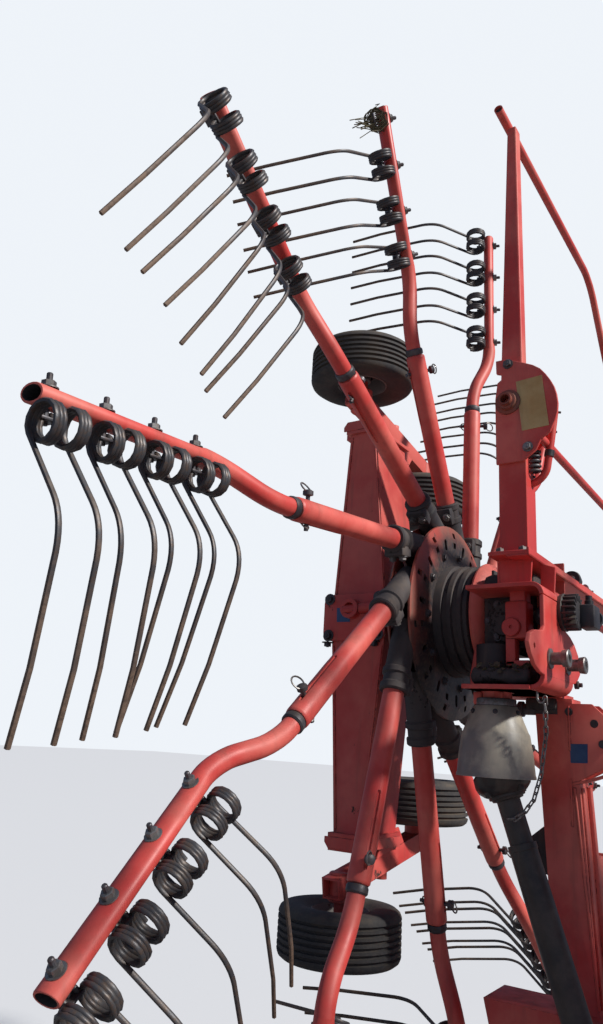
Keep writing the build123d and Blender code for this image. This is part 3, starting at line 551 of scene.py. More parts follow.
def sheet_metal(name, outline, step, material, bevel=2):
    """A plate cut to an outline, extruded by a step."""
    piece = trace(name, outline)
    select_mesh()
    bpy.ops.mesh.edge_face_add()
    pull(step)
    close_up(piece)
    piece.data.materials.append(material)
    return soften(piece, bevel)


def run_of_tube(name, points, radius, material, bend=0.0, sides=2, segments=6):
    """A tube or wire along a line of points, its corners bent to a radius."""
    piece = trace(name, points)
    if bend:
        select_mesh()
        bpy.ops.mesh.bevel(offset=bend * mm, segments=segments, affect="VERTICES")
    bpy.ops.object.mode_set(mode="OBJECT")
    bpy.ops.object.convert(target="CURVE")
    piece = bpy.context.active_object
    piece.data.bevel_depth = radius * mm
    piece.data.bevel_resolution = sides
    piece.data.use_fill_caps = True
    bpy.ops.object.convert(target="MESH")
    piece = bpy.context.active_object
    bpy.ops.object.transform_apply()
    bpy.ops.object.shade_smooth_by_angle(angle=math.radians(60))
    piece.data.materials.clear()
    piece.data.materials.append(material)
    return piece


def pierce(piece, *cutters):
    """Cuts the cutters' shapes out of a piece."""
    for cutter in cutters:
        apply_modifier(piece, "BOOLEAN", operation="DIFFERENCE", object=cutter, solver="EXACT")
        bpy.data.objects.remove(cutter)
    bpy.ops.object.shade_smooth_by_angle(angle=math.radians(35))
    return piece


def in_metres(place):
    """A place with its shift in metres."""
    place = place.copy()
    place.translation *= mm
    return place


def copied(model, place):
    """A copy of a modelled piece with its own mesh, set at a place."""
    piece = model.copy()
    piece.data = model.data.copy()
    piece.data.transform(in_metres(place))
    bpy.context.collection.objects.link(piece)
    return piece


def joined(name, pieces):
    """Several pieces made one."""
    deselect()
    for piece in pieces:
        piece.select_set(True)
    bpy.context.view_layer.objects.active = pieces[0]
    bpy.ops.object.join()
    piece = bpy.context.active_object
    piece.name = name
    piece.data.name = name
    return piece


half_turn = Matrix.Rotation(math.pi, 4, "X")


def moved(place):
    """The shift to a place."""
    return Matrix.Translation(place)


def turns(count, axis):
    """Even turns about an axis."""
    return [Matrix.Rotation(math.tau * k / count, 4, axis) for k in range(count)]


def aimed(direction):
    """The turn that points a model's z axis along a direction."""
    return Vector(direction).to_track_quat("Z", "Y").to_matrix().to_4x4()


def scrap(*models):
    """Removes models that were only copied from."""
    for model in models:
        bpy.data.objects.remove(model)


def softened_node(node, width, material):
    """A copy of a CAD node with its loose triangles merged and its edges rounded."""
    piece = copied(frame["nodes"][node], Matrix())
    piece.name = f"{node}_softened"
    deselect()
    piece.hide_render = False
    piece.select_set(True)
    bpy.context.view_layer.objects.active = piece
    bpy.ops.object.mode_set(mode="EDIT")
    select_mesh()
    bpy.ops.mesh.remove_doubles(threshold=0.00005)
    bpy.ops.mesh.dissolve_limited(angle_limit=math.radians(1))
    bpy.ops.object.mode_set(mode="OBJECT")
    piece.data.materials.clear()
    piece.data.materials.append(material)
    return soften(piece, width)


def reflect(piece):
    """Turns a piece into its mirror image across the machine's middle plane."""
    piece.data.transform(Matrix.Scale(-1, 4, Y))
    piece.data.flip_normals()


def mirrored(piece, name):
    """The same piece on the other side of the machine."""
    twin = copied(piece, Matrix())
    reflect(twin)
    twin.name = name
    twin.data.name = name
    return twin


def mount(piece, body, slot, *nodes):
    """A finished piece rides on its body and stands for its CAD nodes."""
    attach(piece, body)
    if nodes:
        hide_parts(*nodes)


def mount_pair(piece, body, slot, *nodes):
    """Mounts the left piece and its mirror image; names and bodies end in the side."""
    name = piece.name
    twin = mirrored(piece, f"{name}_right")
    piece.name = f"{name}_left"
    for one, side in ((piece, "left"), (twin, "right")):
        mount(one, f"{body}_{side}", slot, *[f"{node}_{side}" for node in nodes])


# Camera, floor and light

def set_camera():
    """The photograph's view: from the machine's centre line, towards the left rotor and up."""
    yaw, pitch, roll = (math.radians(a) for a in (55.3, 16.4, 3.6))
    ahead = Vector((math.sin(yaw) * math.cos(pitch), math.cos(yaw) * math.cos(pitch), math.sin(pitch)))
    level = Vector((math.cos(yaw), -math.sin(yaw), 0))
    above = level.cross(ahead)
    right = math.cos(roll) * level + math.sin(roll) * above
    up = -math.sin(roll) * level + math.cos(roll) * above
    bpy.ops.object.camera_add(location=at(-2281, -1019, -392) * mm)
    camera = bpy.context.active_object
    camera.name = "photo_camera"
    camera.rotation_euler = Matrix((right, up, -ahead)).transposed().to_euler()
    camera.data.lens = 27.63
    camera.data.sensor_width = 36
    camera.data.clip_end = 200
    bpy.context.scene.camera = camera


def set_stage():
    """A plain pale floor, a pale sky for the camera and a soft sun from the right."""
    bpy.ops.mesh.primitive_plane_add(size=120, location=(0, 0, 0))
    floor = bpy.context.active_object
    floor.name = "floor"
    material, tree, shader = new_finish("pale floor", 0.9)
    path = tree.nodes.new("ShaderNodeLightPath")
    shown = mixed(tree, path.outputs["Is Camera Ray"], (0.30, 0.29, 0.28, 1), (0.72, 0.73, 0.74, 1))
    tree.links.new(shown, shader.inputs["Base Color"])
    floor.data.materials.append(material)
    world = bpy.data.worlds.new("pale studio")
    bpy.context.scene.world = world
    world.use_nodes = True
    tree = world.node_tree
    background = tree.nodes["Background"]
    background.inputs["Color"].default_value = (0.52, 0.66, 1.0, 1)
    background.inputs["Strength"].default_value = 0.26
    shown = tree.nodes.new("ShaderNodeBackground")
    shown.inputs["Color"].default_value = (0.86, 0.90, 0.95, 1)
    path = tree.nodes.new("ShaderNodeLightPath")
    mix = tree.nodes.new("ShaderNodeMixShader")
    tree.links.new(path.outputs["Is Camera Ray"], mix.inputs[0])
    tree.links.new(background.outputs[0], mix.inputs[1])
    tree.links.new(shown.outputs[0], mix.inputs[2])
    tree.links.new(mix.outputs[0], tree.nodes["World Output"].inputs["Surface"])
    bpy.ops.object.light_add(type="SUN", location=(0, -6, 8))
    sun = bpy.context.active_object
    sun.data.energy = 4.6
    sun.data.angle = math.radians(4)
    sun.data.color = (1.0, 0.965, 0.91)
    sun.rotation_euler = Vector((-0.10, 0.80, -0.60)).to_track_quat("-Z", "Y").to_euler()
    bpy.context.scene.view_settings.view_transform = "Standard"


set_camera()
set_stage()


# Rake arms: outer sleeve, bent tine tube, linch pin

def hex_bolt(name, width, height, washer, material):
    """A bolt head or nut on its washer, standing on z = 0."""
    head = turned(name, zero, Z, [(0, washer), (2.2, washer), (2.4, width / 1.732),
        (height - 1, width / 1.732), (height, width / 2.1), (height, width / 4), (height + 2, width / 4.2)],
        material, 6, 20)
    disc = turned(name, zero, Z, [(0, washer), (2, washer), (2.2, washer * 0.9)], material, 14)
    return joined(name, [head, disc])


def model_arm():
    """One arm at no lift in its own frame, with its sleeve and linch pin."""
    sleeve = turned("sleeve", zero, X, [(285, 29), (600, 29), (630, 29.5), (814, 29.5), (818, 29),
        (822, 26), (812, 24.5), (795, 24)], red_paint, 32)
    grooves = [block("groove", (600, -4.5, low), (790, 4.5, low + 10), red_paint, 4) for low in (24, -34)]
    pierce(sleeve, joined("grooves", grooves))
    radius = 22.8
    ahead = (stretch_at(arm_tip) - stretch_at(bend_end)).normalized()
    press_run = 45
    press = stretch_at(bend_end) + ahead * press_run
    elbow = run_of_tube("elbow", [(790, 0, 0), (bend_start + 15, 0, 0), stretch_at(bend_end - 5), press],
        radius, red_paint, 55, 8, 7)
    tube = start_round("tube", press, ahead, radius, 20)
    length = (stretch_at(arm_tip) - press).length
    rim_run = 2
    pull(ahead * press_run)
    bpy.ops.transform.resize(value=(1, 1.14, 0.80), center_override=(press + ahead * press_run) * mm)
    pull(ahead * (length - press_run - rim_run))
    pull(ahead * rim_run)
    widen(stretch_at(arm_tip), 0.95)
    # The tube's end is hollowed 40 mm deep, and the hollow's floor and walls take black paint: painted
    # shade for the dark inside of the open tube.
    bpy.ops.mesh.inset(thickness=3.5 * mm)
    pull(ahead * -40)
    bpy.ops.mesh.select_more()
    tube.data.materials.append(red_paint)
    tube.data.materials.append(black_paint)
    tube.active_material_index = 1
    bpy.ops.object.material_slot_assign()
    close_up(tube)
    collar = turned("collar", zero, X, [(824, 25.5), (828, 27.5), (840, 27.5), (844, 24.5)], dark_bolt, 20)
    pin_at = 768
    pin = run_of_tube("linch pin", [(pin_at, 0, -45), (pin_at, 0, 47)], 5.5, dark_bolt)
    head = turned("pin head", (pin_at, 0, 40), Z, [(0, 7), (2, 13), (12, 13), (15, 8)], dark_bolt, 12)
    loops = []
    for height, size in ((47, 19), (-40, 16)):
        points = []
        for k in range(16):
            a = math.radians(24 * k)
            points.append((pin_at + size * math.sin(a) * 0.8, size * (math.cos(a) - 1) * 0.6 + 4,
                height + size * 0.7 * (1 - math.cos(a))))
        loops.append(run_of_tube("pin ring", points, 2.2, zinc, sides=1))
    return joined("arm", [sleeve, elbow, tube, collar, pin, head] + loops)


def model_half_tine():
    """Half of a double tine from its clamp loop to its coil's exit, the coil's axis along x."""
    radius = 32
    loop = 12
    windings = 3.168
    points = []
    for k in range(5):
        a = math.radians(90 - 22.5 * k)
        points.append(Vector((loop * math.cos(a), -coil_back - loop * math.sin(a), 23.5)))
    points.append(Vector((12.2, -34, 20.5)))
    for k in range(45):
        share = k / 44
        a = math.radians(158) + math.tau * windings * share
        points.append(Vector((12.5 + 23.5 * share, radius * math.cos(a), radius * math.sin(a))))
    return points


def model_tine(legs, bends=((0, 0), (0, 0))):
    """A double tine with its coils, clamp loop and the legs still there; bends move the tips."""
    half = model_half_tine()
    exit_point = half[-1]
    wires = []
    bend_in = 52
    bend_out = 64
    for leg, sign in ((0, 1), (1, -1)):
        points = list(half)
        along, back = bends[leg]
        knee = Vector((38, 83, -158))
        tip = Vector((37 + sign * along, back, -487))
        if leg in legs:
            towards = (knee - exit_point).normalized()
            away = (tip - knee).normalized()
            for k in range(9):
                s = k / 8
                start = knee - towards * bend_in
                end = knee + away * bend_out
                points.append(start * (1 - s) ** 2 + knee * 2 * s * (1 - s) + end * s ** 2)
            points.append(knee + away * 220 + Vector((0, 6, 0)))
            points.append(tip)
        points = [Vector((sign * p.x, p.y, p.z)) for p in points]
        wires.append(run_of_tube("tine wire", points, 5, tine_steel, sides=1))
    tine = joined("double tine", wires)
    reach = tine.data.attributes.new("reach", "FLOAT", "POINT")
    for vertex, value in zip(tine.data.vertices, reach.data):
        value.value = min(1.0, max(0.0, -vertex.co.z / mm / 500))
    return tine


def place_arms():
    """Arms, their tines and their bolts, for the left rotor and then the right one."""
    arm = model_arm()
    arms = [copied(arm, arm_place(number, lift)) for number, lift in enumerate(arm_lifts)]
    nut = hex_bolt("nut", 21, 13, 17, zinc)
    shank = turned("shank", zero, Z, [(-62, 5.5), (24, 5.5), (26, 4)], dark_bolt, 10)
    clamp = block("clamp", (-19, -17, -56), (19, 17, -50), dark_bolt, 2)
    fixing = joined("tine fixing", [nut, shank, clamp])
    kinds = {legs: model_tine(legs) for legs in ((0, 1), (0,), (1,))}
    bent = {spot: model_tine((0, 1), bends) for spot, bends in bent_legs.items()}
    tube_top = 17
    left = []
    right = []
    fixings = []
    for number, lift in enumerate(arm_lifts):
        place = arm_place(number, lift)
        for count in range(4):
            r = last_bolt - count * tine_pitch
            spine = place @ moved(stretch_at(r))
            legs = tuple(leg for leg in (0, 1) if (number, count, leg) not in lost_legs)
            fixings.append(copied(fixing, spine @ moved((0, 0, tube_top))))
            spot = spine @ moved((0, coil_back, -coil_down))
            if legs:
                left.append(copied(bent.get((number, count), kinds[legs]), spot))
            right.append(copied(kinds[(0, 1)], spot))
    scrap(arm, fixing, *kinds.values(), *bent.values())
    mount_pair(joined("rake_arms_dressed", arms + fixings), "rotor", "red paint", "rake_arms")
    mount(joined("tines_dressed_left", left), "rotor_left", "tine steel", "tines_left")
    other = joined("tines_dressed_right", right)
    reflect(other)
    mount(other, "rotor_right", "tine steel", "tines_right")


place_arms()


# Rotor heads: ribbed drum, two dished plates and eleven sockets

def round_about(first_angle, radius, out):
    """Even places round the rotor axis, each a turn and a shift from the hub."""
    for k in range(arm_count):
        turn = Matrix.Rotation(-math.radians(first_angle + 360 / arm_count * k), 4, "Y")
        yield moved(hub) @ turn @ moved((radius, out, 0))


def mark_soil_and_low_dark(piece):
    """Marks greasy soil that is thick near the rotor axis and thins towards the rim, and makes the plates
    darker towards the bottom.
    """
    full = 225
    clean = 300
    low = -60
    depth = 120
    soil = piece.data.attributes.new("soil", "FLOAT", "POINT")
    for vertex, value in zip(piece.data.vertices, soil.data):
        offset = vertex.co / mm - hub
        away = math.hypot(offset.x, offset.z)
        # Darker towards the bottom: the mark grows from 60 mm under the hub to full at 180 mm under it.
        low_dark = max(0.0, low - offset.z) / depth
        value.value = min(1.0, max(0.0, (clean - away) / (clean - full)) + low_dark)


def model_rotor_head():
    drum = turned("drum", hub, Y, [(-148, 60), (-148, 146), (-144, 156), (-132, 156), (-130, 164),
        (-116, 164), (-114, 158), (-102, 158), (-100, 167), (-86, 167), (-84, 160), (-72, 160), (-70, 170),
        (-46, 172), (40, 172), (48, 152), (55, 146), (55, 60)], hub_grime, 56, 30)
    pieces = [drum]
    hole = block("hole", (-9, -100, -9), (9, 100, 9), red_paint, 2)
    slot = block("slot", (-18, -100, -8), (18, 100, 8), red_paint, 7)
    cutters = []
    for model, first_angle, radius in ((hole, 92, 272), (hole, 92, 240), (slot, 76, 240)):
        cutters += [copied(model, place) for place in round_about(first_angle, radius, 0)]
    cutter = joined("cutters", cutters)
    for out, sign in ((-46, 1), (46, -1)):
        rim = [(0, 150), (0, 262), (10, 299), (16, 300), (16, 292), (8, 262), (8, 150), (0, 150)]
        dished = lathed("ring plate", hub + Y * out, Y * sign, rim, dirty_red, 66)
        mark_soil_and_low_dark(pierce(dished, copied(cutter, Matrix())))
        pieces.append(dished)
    scrap(cutter, hole, slot)
    socket = turned("socket", zero, X, [(120, 20), (120, 36), (262, 36), (266, 41), (280, 41), (284, 36),
        (306, 36), (310, 41), (326, 41), (330, 37), (330, 29), (310, 29)], hub_grime, 28)
    jaw = block("jaw", (266, 18, -30), (322, 50, 30), hub_grime, 5)
    bolt = hex_bolt("socket bolt", 19, 12, 14, zinc)
    bolts = [copied(bolt, moved((294, 49, z)) @ Matrix.Rotation(-math.pi / 2, 4, "X"))
        for z in (-15.5, 15.5)]
    clamp = joined("clamp socket", [socket, jaw] + bolts)
    pieces += [copied(clamp, arm_place(number, 0)) for number in range(arm_count)]
    rivet = hex_bolt("plate bolt", 17, 10, 13, dark_bolt)
    turn = Matrix.Rotation(math.pi / 2, 4, "X")
    pieces += [copied(rivet, place @ turn) for place in round_about(84, 205, -46)]
    scrap(clamp, bolt, rivet)
    mount_pair(joined("rotor_head_dressed", pieces), "rotor", "hub", "rotor_head")


model_rotor_head()


# Tyres and rims

def ring(profile):
    """A profile closed on its first point."""
    return profile + profile[:1]


def both_ways(half):
    """A profile and its mirror image beyond the middle."""
    return half + [(-place, radius) for place, radius in reversed(half)]


def mark_mud(piece, centre, axis, tread, deep):
    """Marks where dry mud holds: the bottoms of the grooves and, less, the flanks."""
    mud = piece.data.attributes.new("mud", "FLOAT", "POINT")
    for vertex, value in zip(piece.data.vertices, mud.data):
        offset = vertex.co / mm - centre
        away = (offset - axis * offset.dot(axis)).length
        value.value = 1.0 if tread - 1.8 * deep < away < tread - 0.5 * deep else 0.35


def model_small_wheel():
    """A ribbed tyre on a pressed rim, at the origin, its axle along z; the hub cap is up."""
    half = [(-60, 84), (-62, 95), (-69, 106), (-74.5, 126), (-75, 150), (-72, 169), (-64, 180), (-55, 184)]
    tread = 185
    ribs = []
    for place in (-44.5, -26.5, -8.5):
        ribs += [(place - 5, tread), (place - 3.5, 177.5), (place + 3.5, 177.5), (place + 5, tread)]
    tyre = lathed("tyre", zero, Z, ring(both_ways(half + ribs)), tyre_rubber, 72, 40)
    mark_mud(tyre, zero, Z, tread, 7.5)
    channel = [(-60, 90), (-63, 85), (-52, 78), (-12, 73), (-6, 68), (-6, 32), (-44, 30), (-47, 26),
        (-47, 20.5)]
    rim = lathed("rim", zero, Z, ring(both_ways(channel)), rim_paint, 48)
    cap = turned("cap", zero, Z, [(20, 28), (50, 28), (58, 24), (61, 12)], rim_paint, 24)
    bolt = hex_bolt("rim bolt", 15, 9, 11, dark_bolt)
    bolts = []
    for turn in turns(5, "Z"):
        for flip in (Matrix(), half_turn):
            bolts.append(copied(bolt, turn @ flip @ moved((51, 0, 6))))
    stem = turned("valve", (68, 12, 8), (0.5, 0, 1), [(0, 4), (22, 3.5), (24, 2)], black_plastic, 10)
    scrap(bolt)
    return joined("small wheel", [tyre, rim, cap, stem] + bolts)


def place_small_wheels():
    model = model_small_wheel()
    for name, x, z in small_wheels:
        inward = abs(z) < 700
        flip = half_turn if (z > 0) == inward else Matrix()
        wheel = copied(model, moved(at(x, wheel_drop, z)) @ flip)
        wheel.name = f"{name}_dressed"
        mount_pair(wheel, name, "tyre", name)
    scrap(model)


def model_road_wheel():
    """A road tyre with ribs and shoulder lugs on a dished rim, its outer face to the left."""
    centre = Vector((axle_x, 900, axle_z))
    half = [(-104, 197), (-108, 212), (-122, 240), (-131, 285), (-132, 315), (-128, 345), (-118, 362),
        (-104, 369), (-88, 371), (-86, 379)]
    tread = 380
    ribs = []
    for place in (-52, -17.5):
        ribs += [(place - 9, tread), (place - 6, 369), (place + 6, 369), (place + 9, tread)]
    tyre = lathed("road tyre", centre, Y, ring(both_ways(half + ribs)), tyre_rubber, 96, 40)
    lug = block("lug", (-10, 80, 355), (10, 124, 377), tyre_rubber, 5)
    lugs = []
    for k in range(44):
        for side in (0, 1):
            turn = Matrix.Rotation(math.tau * (k + side / 2) / 44, 4, "Y")
            flip = Matrix.Rotation(math.pi * side, 4, "Z")
            lugs.append(copied(lug, moved(centre) @ turn @ flip))
    scrap(lug)
    tyre = joined("road tyre", [tyre] + lugs)
    mark_mud(tyre, centre, Y, tread, 11)
    barrel = [(-104, 204), (-108, 198), (-94, 184), (-40, 170), (40, 170), (94, 184), (108, 198),
        (104, 204), (90, 190), (38, 176), (-38, 176), (-90, 190)]
    dish = [(30, 172), (24, 150), (36, 105), (36, 45), (28, 45), (28, 104), (16, 150), (22, 172)]
    boss = [(-70, 36), (-70, 52), (-55, 60), (50, 60), (56, 52), (56, 36)]
    rim = joined("road rim", [lathed("rim ring", centre, Y, ring(part), rim_paint, 64)
        for part in (barrel, dish, boss)])
    cap = turned("hub cap", centre, Y, [(30, 60), (58, 58), (64, 50), (66, 30)], black_paint, 32)
    bolt = hex_bolt("wheel nut", 24, 16, 17, zinc)
    nuts = []
    for turn in turns(6, "Y"):
        place = moved(centre) @ turn @ moved((95, 36, 0))
        nuts.append(copied(bolt, place @ Matrix.Rotation(-math.pi / 2, 4, "X")))
    scrap(bolt)
    mount_pair(joined("road_wheel_dressed", [tyre, rim, cap] + nuts), "road_wheel", "tyre", "road_wheel")


place_small_wheels()
model_road_wheel()


# Guard: fixed lower frame with its pivot plates, and the folding hoop

def across(axis, value, pairs):
    """Points on a plane across an axis, each given by its other two places from the hub."""
    places = []
    for first, second in pairs:
        spot = {"x": (value, first, second), "y": (first, value, second), "z": (first, second, value)}[axis]
        places.append(at(*spot))
    return places


def plate(name, axis, value, pairs, thick, material, bevel=1.5):
    """A flat plate cut to an outline on a plane across an axis."""
    step = {"x": (thick, 0, 0), "y": (0, thick, 0), "z": (0, 0, thick)}[axis]
    return sheet_metal(name, across(axis, value, pairs), step, material, bevel)


def bolts_on(model, direction, places):
    """Copies of a bolt head set at places, all pointing one way."""
    return [copied(model, moved(at(*place)) @ aimed(direction)) for place in places]


def model_guard_frame():
    """Channel posts, pivot plates, the low angle bar and the stay tube behind."""
    d_outline = [(-276, 724), (-277, 682), (-294, 676), (-294, 662), (-280, 652), (-273, 600), (-274, 400),
        (-352, 400), (-366, 411), (-389, 428), (-404, 459), (-429, 475), (-443, 505), (-451, 530),
        (-453, 556), (-450, 585), (-444, 608), (-433, 632), (-421, 652), (-406, 672), (-385, 688),
        (-361, 700), (-330, 714), (-295, 724)]
    small_outline = [(-278, 690), (-278, 440), (-350, 440), (-392, 490), (-414, 545), (-410, 600),
        (-390, 650), (-350, 690)]
    channel = [(-40, 0), (-40, -79), (40, -79), (40, -73), (-34, -73), (-34, -6), (40, -6), (40, 0)]
    head = hex_bolt("guard bolt", 19, 12, 15, zinc)
    pieces = []
    for post_x, foot, bigger, lesser in ((-200, 137, d_outline, small_outline),
            (1200, 120, small_outline, small_outline)):
        pieces.append(plate("pivot plate", "x", post_x - 42, bigger, -10, red_paint, 2))
        pieces.append(plate("far pivot plate", "x", post_x + 42, lesser, 8, red_paint, 2))
        outline = [(post_x + x, -277 + y) for x, y in channel]
        pieces.append(plate("post", "z", foot, outline, 545 - foot, red_paint, 2))
    pieces.append(plate("post foot gusset", "x", -240, [(-279, 137), (-262, 137), (-279, 200)], 6,
        red_paint))
    pieces += bolts_on(head, -X, [(-252, -313, 706), (-252, -366, 439)])
    pieces += [plate(*sizes) for sizes in (
        ("post flange", "z", 125, [(-289, -261), (-289, -371), (-30, -371), (-30, -261)], 12, red_paint, 3),
        ("low bar", "z", 120, [(-289, -375), (-289, -312), (1240, -312), (1240, -375)], 6, red_paint, 2),
        ("low bar lip", "y", -369, [(-289, 120), (-289, 143), (1240, 146), (1240, 120)], -6, red_paint, 2),
    )]
    pieces += bolts_on(head, Z, [(-268, -288, 137), (-268, -350, 137), (-236, -352, 137),
        (-130, -345, 137)])
    pieces.append(run_of_tube("stay tube", [at(-244, -397, 466), at(-190, -400, 464), at(1200, -400, 464)],
        11.8, red_paint, 20, 3))
    pieces.append(run_of_tube("bent stay", [at(-185, -424, 560), at(-185, -416, 500), at(-185, -394, 366),
        at(-185, -300, 330)], 10.5, red_paint, 30, 3))
    pieces.append(turned("stay clamp", at(-185, -405.5, 436), (0, 22, -134), [(-9, 13.5), (9, 13.5)],
        black_plastic, 16))
    coil = []
    for k in range(61):
        a = math.tau * 5.5 * k / 60
        coil.append(at(-196 + 20 * math.cos(a), -362 + 20 * math.sin(a), 374 + 78 * k / 60))
    pieces.append(run_of_tube("balance spring", coil, 4.2, dark_bolt, sides=1))
    nut = lathed("pivot nut", at(-252, -312, 584), -X, [(0, 13), (0, 37), (5, 37), (7, 28), (18, 26),
        (20, 19), (32, 18), (32, 13), (0, 13)], dirty_red, 28)
    grommet = lathed("hose grommet", at(190, -352, 154), X, [(0, 12), (0, 26), (10, 28), (20, 26), (20, 12),
        (0, 12)], black_plastic, 24)
    pieces += [nut, grommet]
    scrap(head)
    mount_pair(joined("guard_frame_dressed", pieces), "arm", "red paint", "guard_frame")
    label = plate("blank_plate", "x", -252.5, [(-336, 644), (-411, 649), (-427, 493), (-351, 489)],
        label_step, plate_yellow, 0.4)
    mount_pair(label, "arm", "black plastic")


def model_guard_hoop():
    """The tapered upright and the thin tube that it carries round to the front."""
    upright = plate("upright", "x", -236, [(-284, 590), (-284, 640), (-317, 1556), (-345, 1556),
        (-350, 640), (-350, 590)], 42, red_paint, 4)
    foot = turned("hoop foot", at(-236, hoop_y, 595), X, [(0, 38), (70, 38)], red_paint, 32)
    front_foot = turned("front hoop foot", at(1166, hoop_y, 595), X, [(0, 36), (68, 36)], red_paint, 32)
    front_post = bar("front stay", at(1200, hoop_y, 595), at(1200, hoop_y, 700), (40, 50), red_paint)
    outer = run_of_tube("hoop tube", [at(-290, hoop_y, 1582), at(790, hoop_y, 1584), at(1040, hoop_y, 1280),
        at(1560, hoop_y, 870), at(1690, hoop_y, 595), at(1200, hoop_y, 595)], 14, red_paint, 90, 4, 8)
    mouth = lathed("tube mouth", at(-290, hoop_y, 1582), -X, [(0, 11.2), (0, 14), (12, 14), (12, 11.2),
        (0, 11.2)], red_paint, 24)
    # A thin black disc at the bottom of the mouth ring: painted shade for the dark inside of the tube.
    shade = turned("painted shade in tube mouth", at(-290.5, hoop_y, 1582), -X, [(0, 11.3), (1.5, 11.3)], black_plastic, 24)
    mount_pair(joined("guard_hoop_dressed", [upright, foot, front_foot, front_post, outer, mouth, shade]),
        "guard", "red paint", "guard_hoop")


# Gearbox with its bell and rear housing, the cradle round it, and the height setting's pins

def model_gearbox():
    bell = turned("bell", hub, -Y, [(156, 160), (158, 169), (164, 171), (176, 166), (190, 150), (200, 126),
        (205, 100), (230, 92)], red_paint, 64)
    core = block("housing", at(-150, -345, -110), at(55, -190, 110), hub_grime, 22)
    collar = turned("housing collar", at(-150, -268, -30), -X, [(0, 62), (16, 58), (18, 46), (34, 43)],
        hub_grime, 32)
    web = plate("bell web", "x", -160, [(-172, -100), (-158, -176), (-158, -214), (-206, -214),
        (-205, -170), (-196, -100)], 14, red_paint, 4)
    level = [
        block("level housing", at(-230, -345, -90), at(-165, -285, 12), red_paint, 7),
        block("level stem", at(-222, -340, 6), at(-172, -296, 50), red_paint, 5),
        block("level leg", at(-226, -312, -160), at(-190, -285, -80), red_paint, 4),
        block("level foot", at(-226, -350, -162), at(-190, -285, -146), red_paint, 4),
    ]
    cap = lathed("level cap", at(-230, -305, -60), -X, [(0, 0), (0, 25), (9, 25), (11, 23), (11, 4.5),
        (6, 4), (6, 0)], red_paint, 32)
    lever_ring = lathed("side cover", at(-150, -372, -20), -X, [(0, 0), (0, 30), (12, 29), (14, 17),
        (34, 15), (36, 0)], hub_grime, 28)
    pin = turned("bright pin", at(-186, -376, -26), -X, [(0, 8), (16, 8), (18, 6)], zinc, 16)
    stub = turned("wheel shaft", hub, Y, [(-300, 44.5), (100, 44.5), (102, 62), (128, 62), (137, 56)],
        hub_grime, 40)
    neck = turned("input neck", input_axis, -Z, [(100, 50), (206, 50)], hub_grime, 36)
    boss = turned("input boss", input_axis, -Z, [(206, 49.5), (214, 49.5), (228, 43), (262, 43)], red_paint,
        36)
    ears = [block("boss ear", at(-212, y - 12, -262), at(-130, y + 12, -228), red_paint, 4)
        for y in (-200, -258)]
    stem = turned("input shaft", input_axis, -Z, [(255, 22.5), (361, 22.5)], dark_bolt, 24)
    head = hex_bolt("cover bolt", 15, 10, 12, dark_bolt)
    bolts = []
    circle = 52
    for k in range(6):
        a = math.tau * k / 6
        bolts += bolts_on(head, -X, [(-166, -268 + circle * math.cos(a), -30 + circle * math.sin(a))])
    ribs = [block("housing rib", at(-140, y, -122), at(45, y + 10, 122), hub_grime, 4)
        for y in (-225, -300)]
    scrap(head)
    mount_pair(joined("gearbox_dressed", [bell, core, collar, web, cap, lever_ring, pin, stub, neck, boss,
        stem] + level + ears + bolts + ribs), "arm", "red paint", "gearbox")


def bent_edge(y, z, first, last):
    """A quarter bend of plate about a centre, out at one radius and back at another; minus is down."""
    arc = [math.radians(15 * k) for k in range(7)]
    out = [(y - abs(first) * math.sin(a), z + first * math.cos(a)) for a in arc]
    return out + [(y - abs(last) * math.sin(a), z + last * math.cos(a)) for a in reversed(arc)]


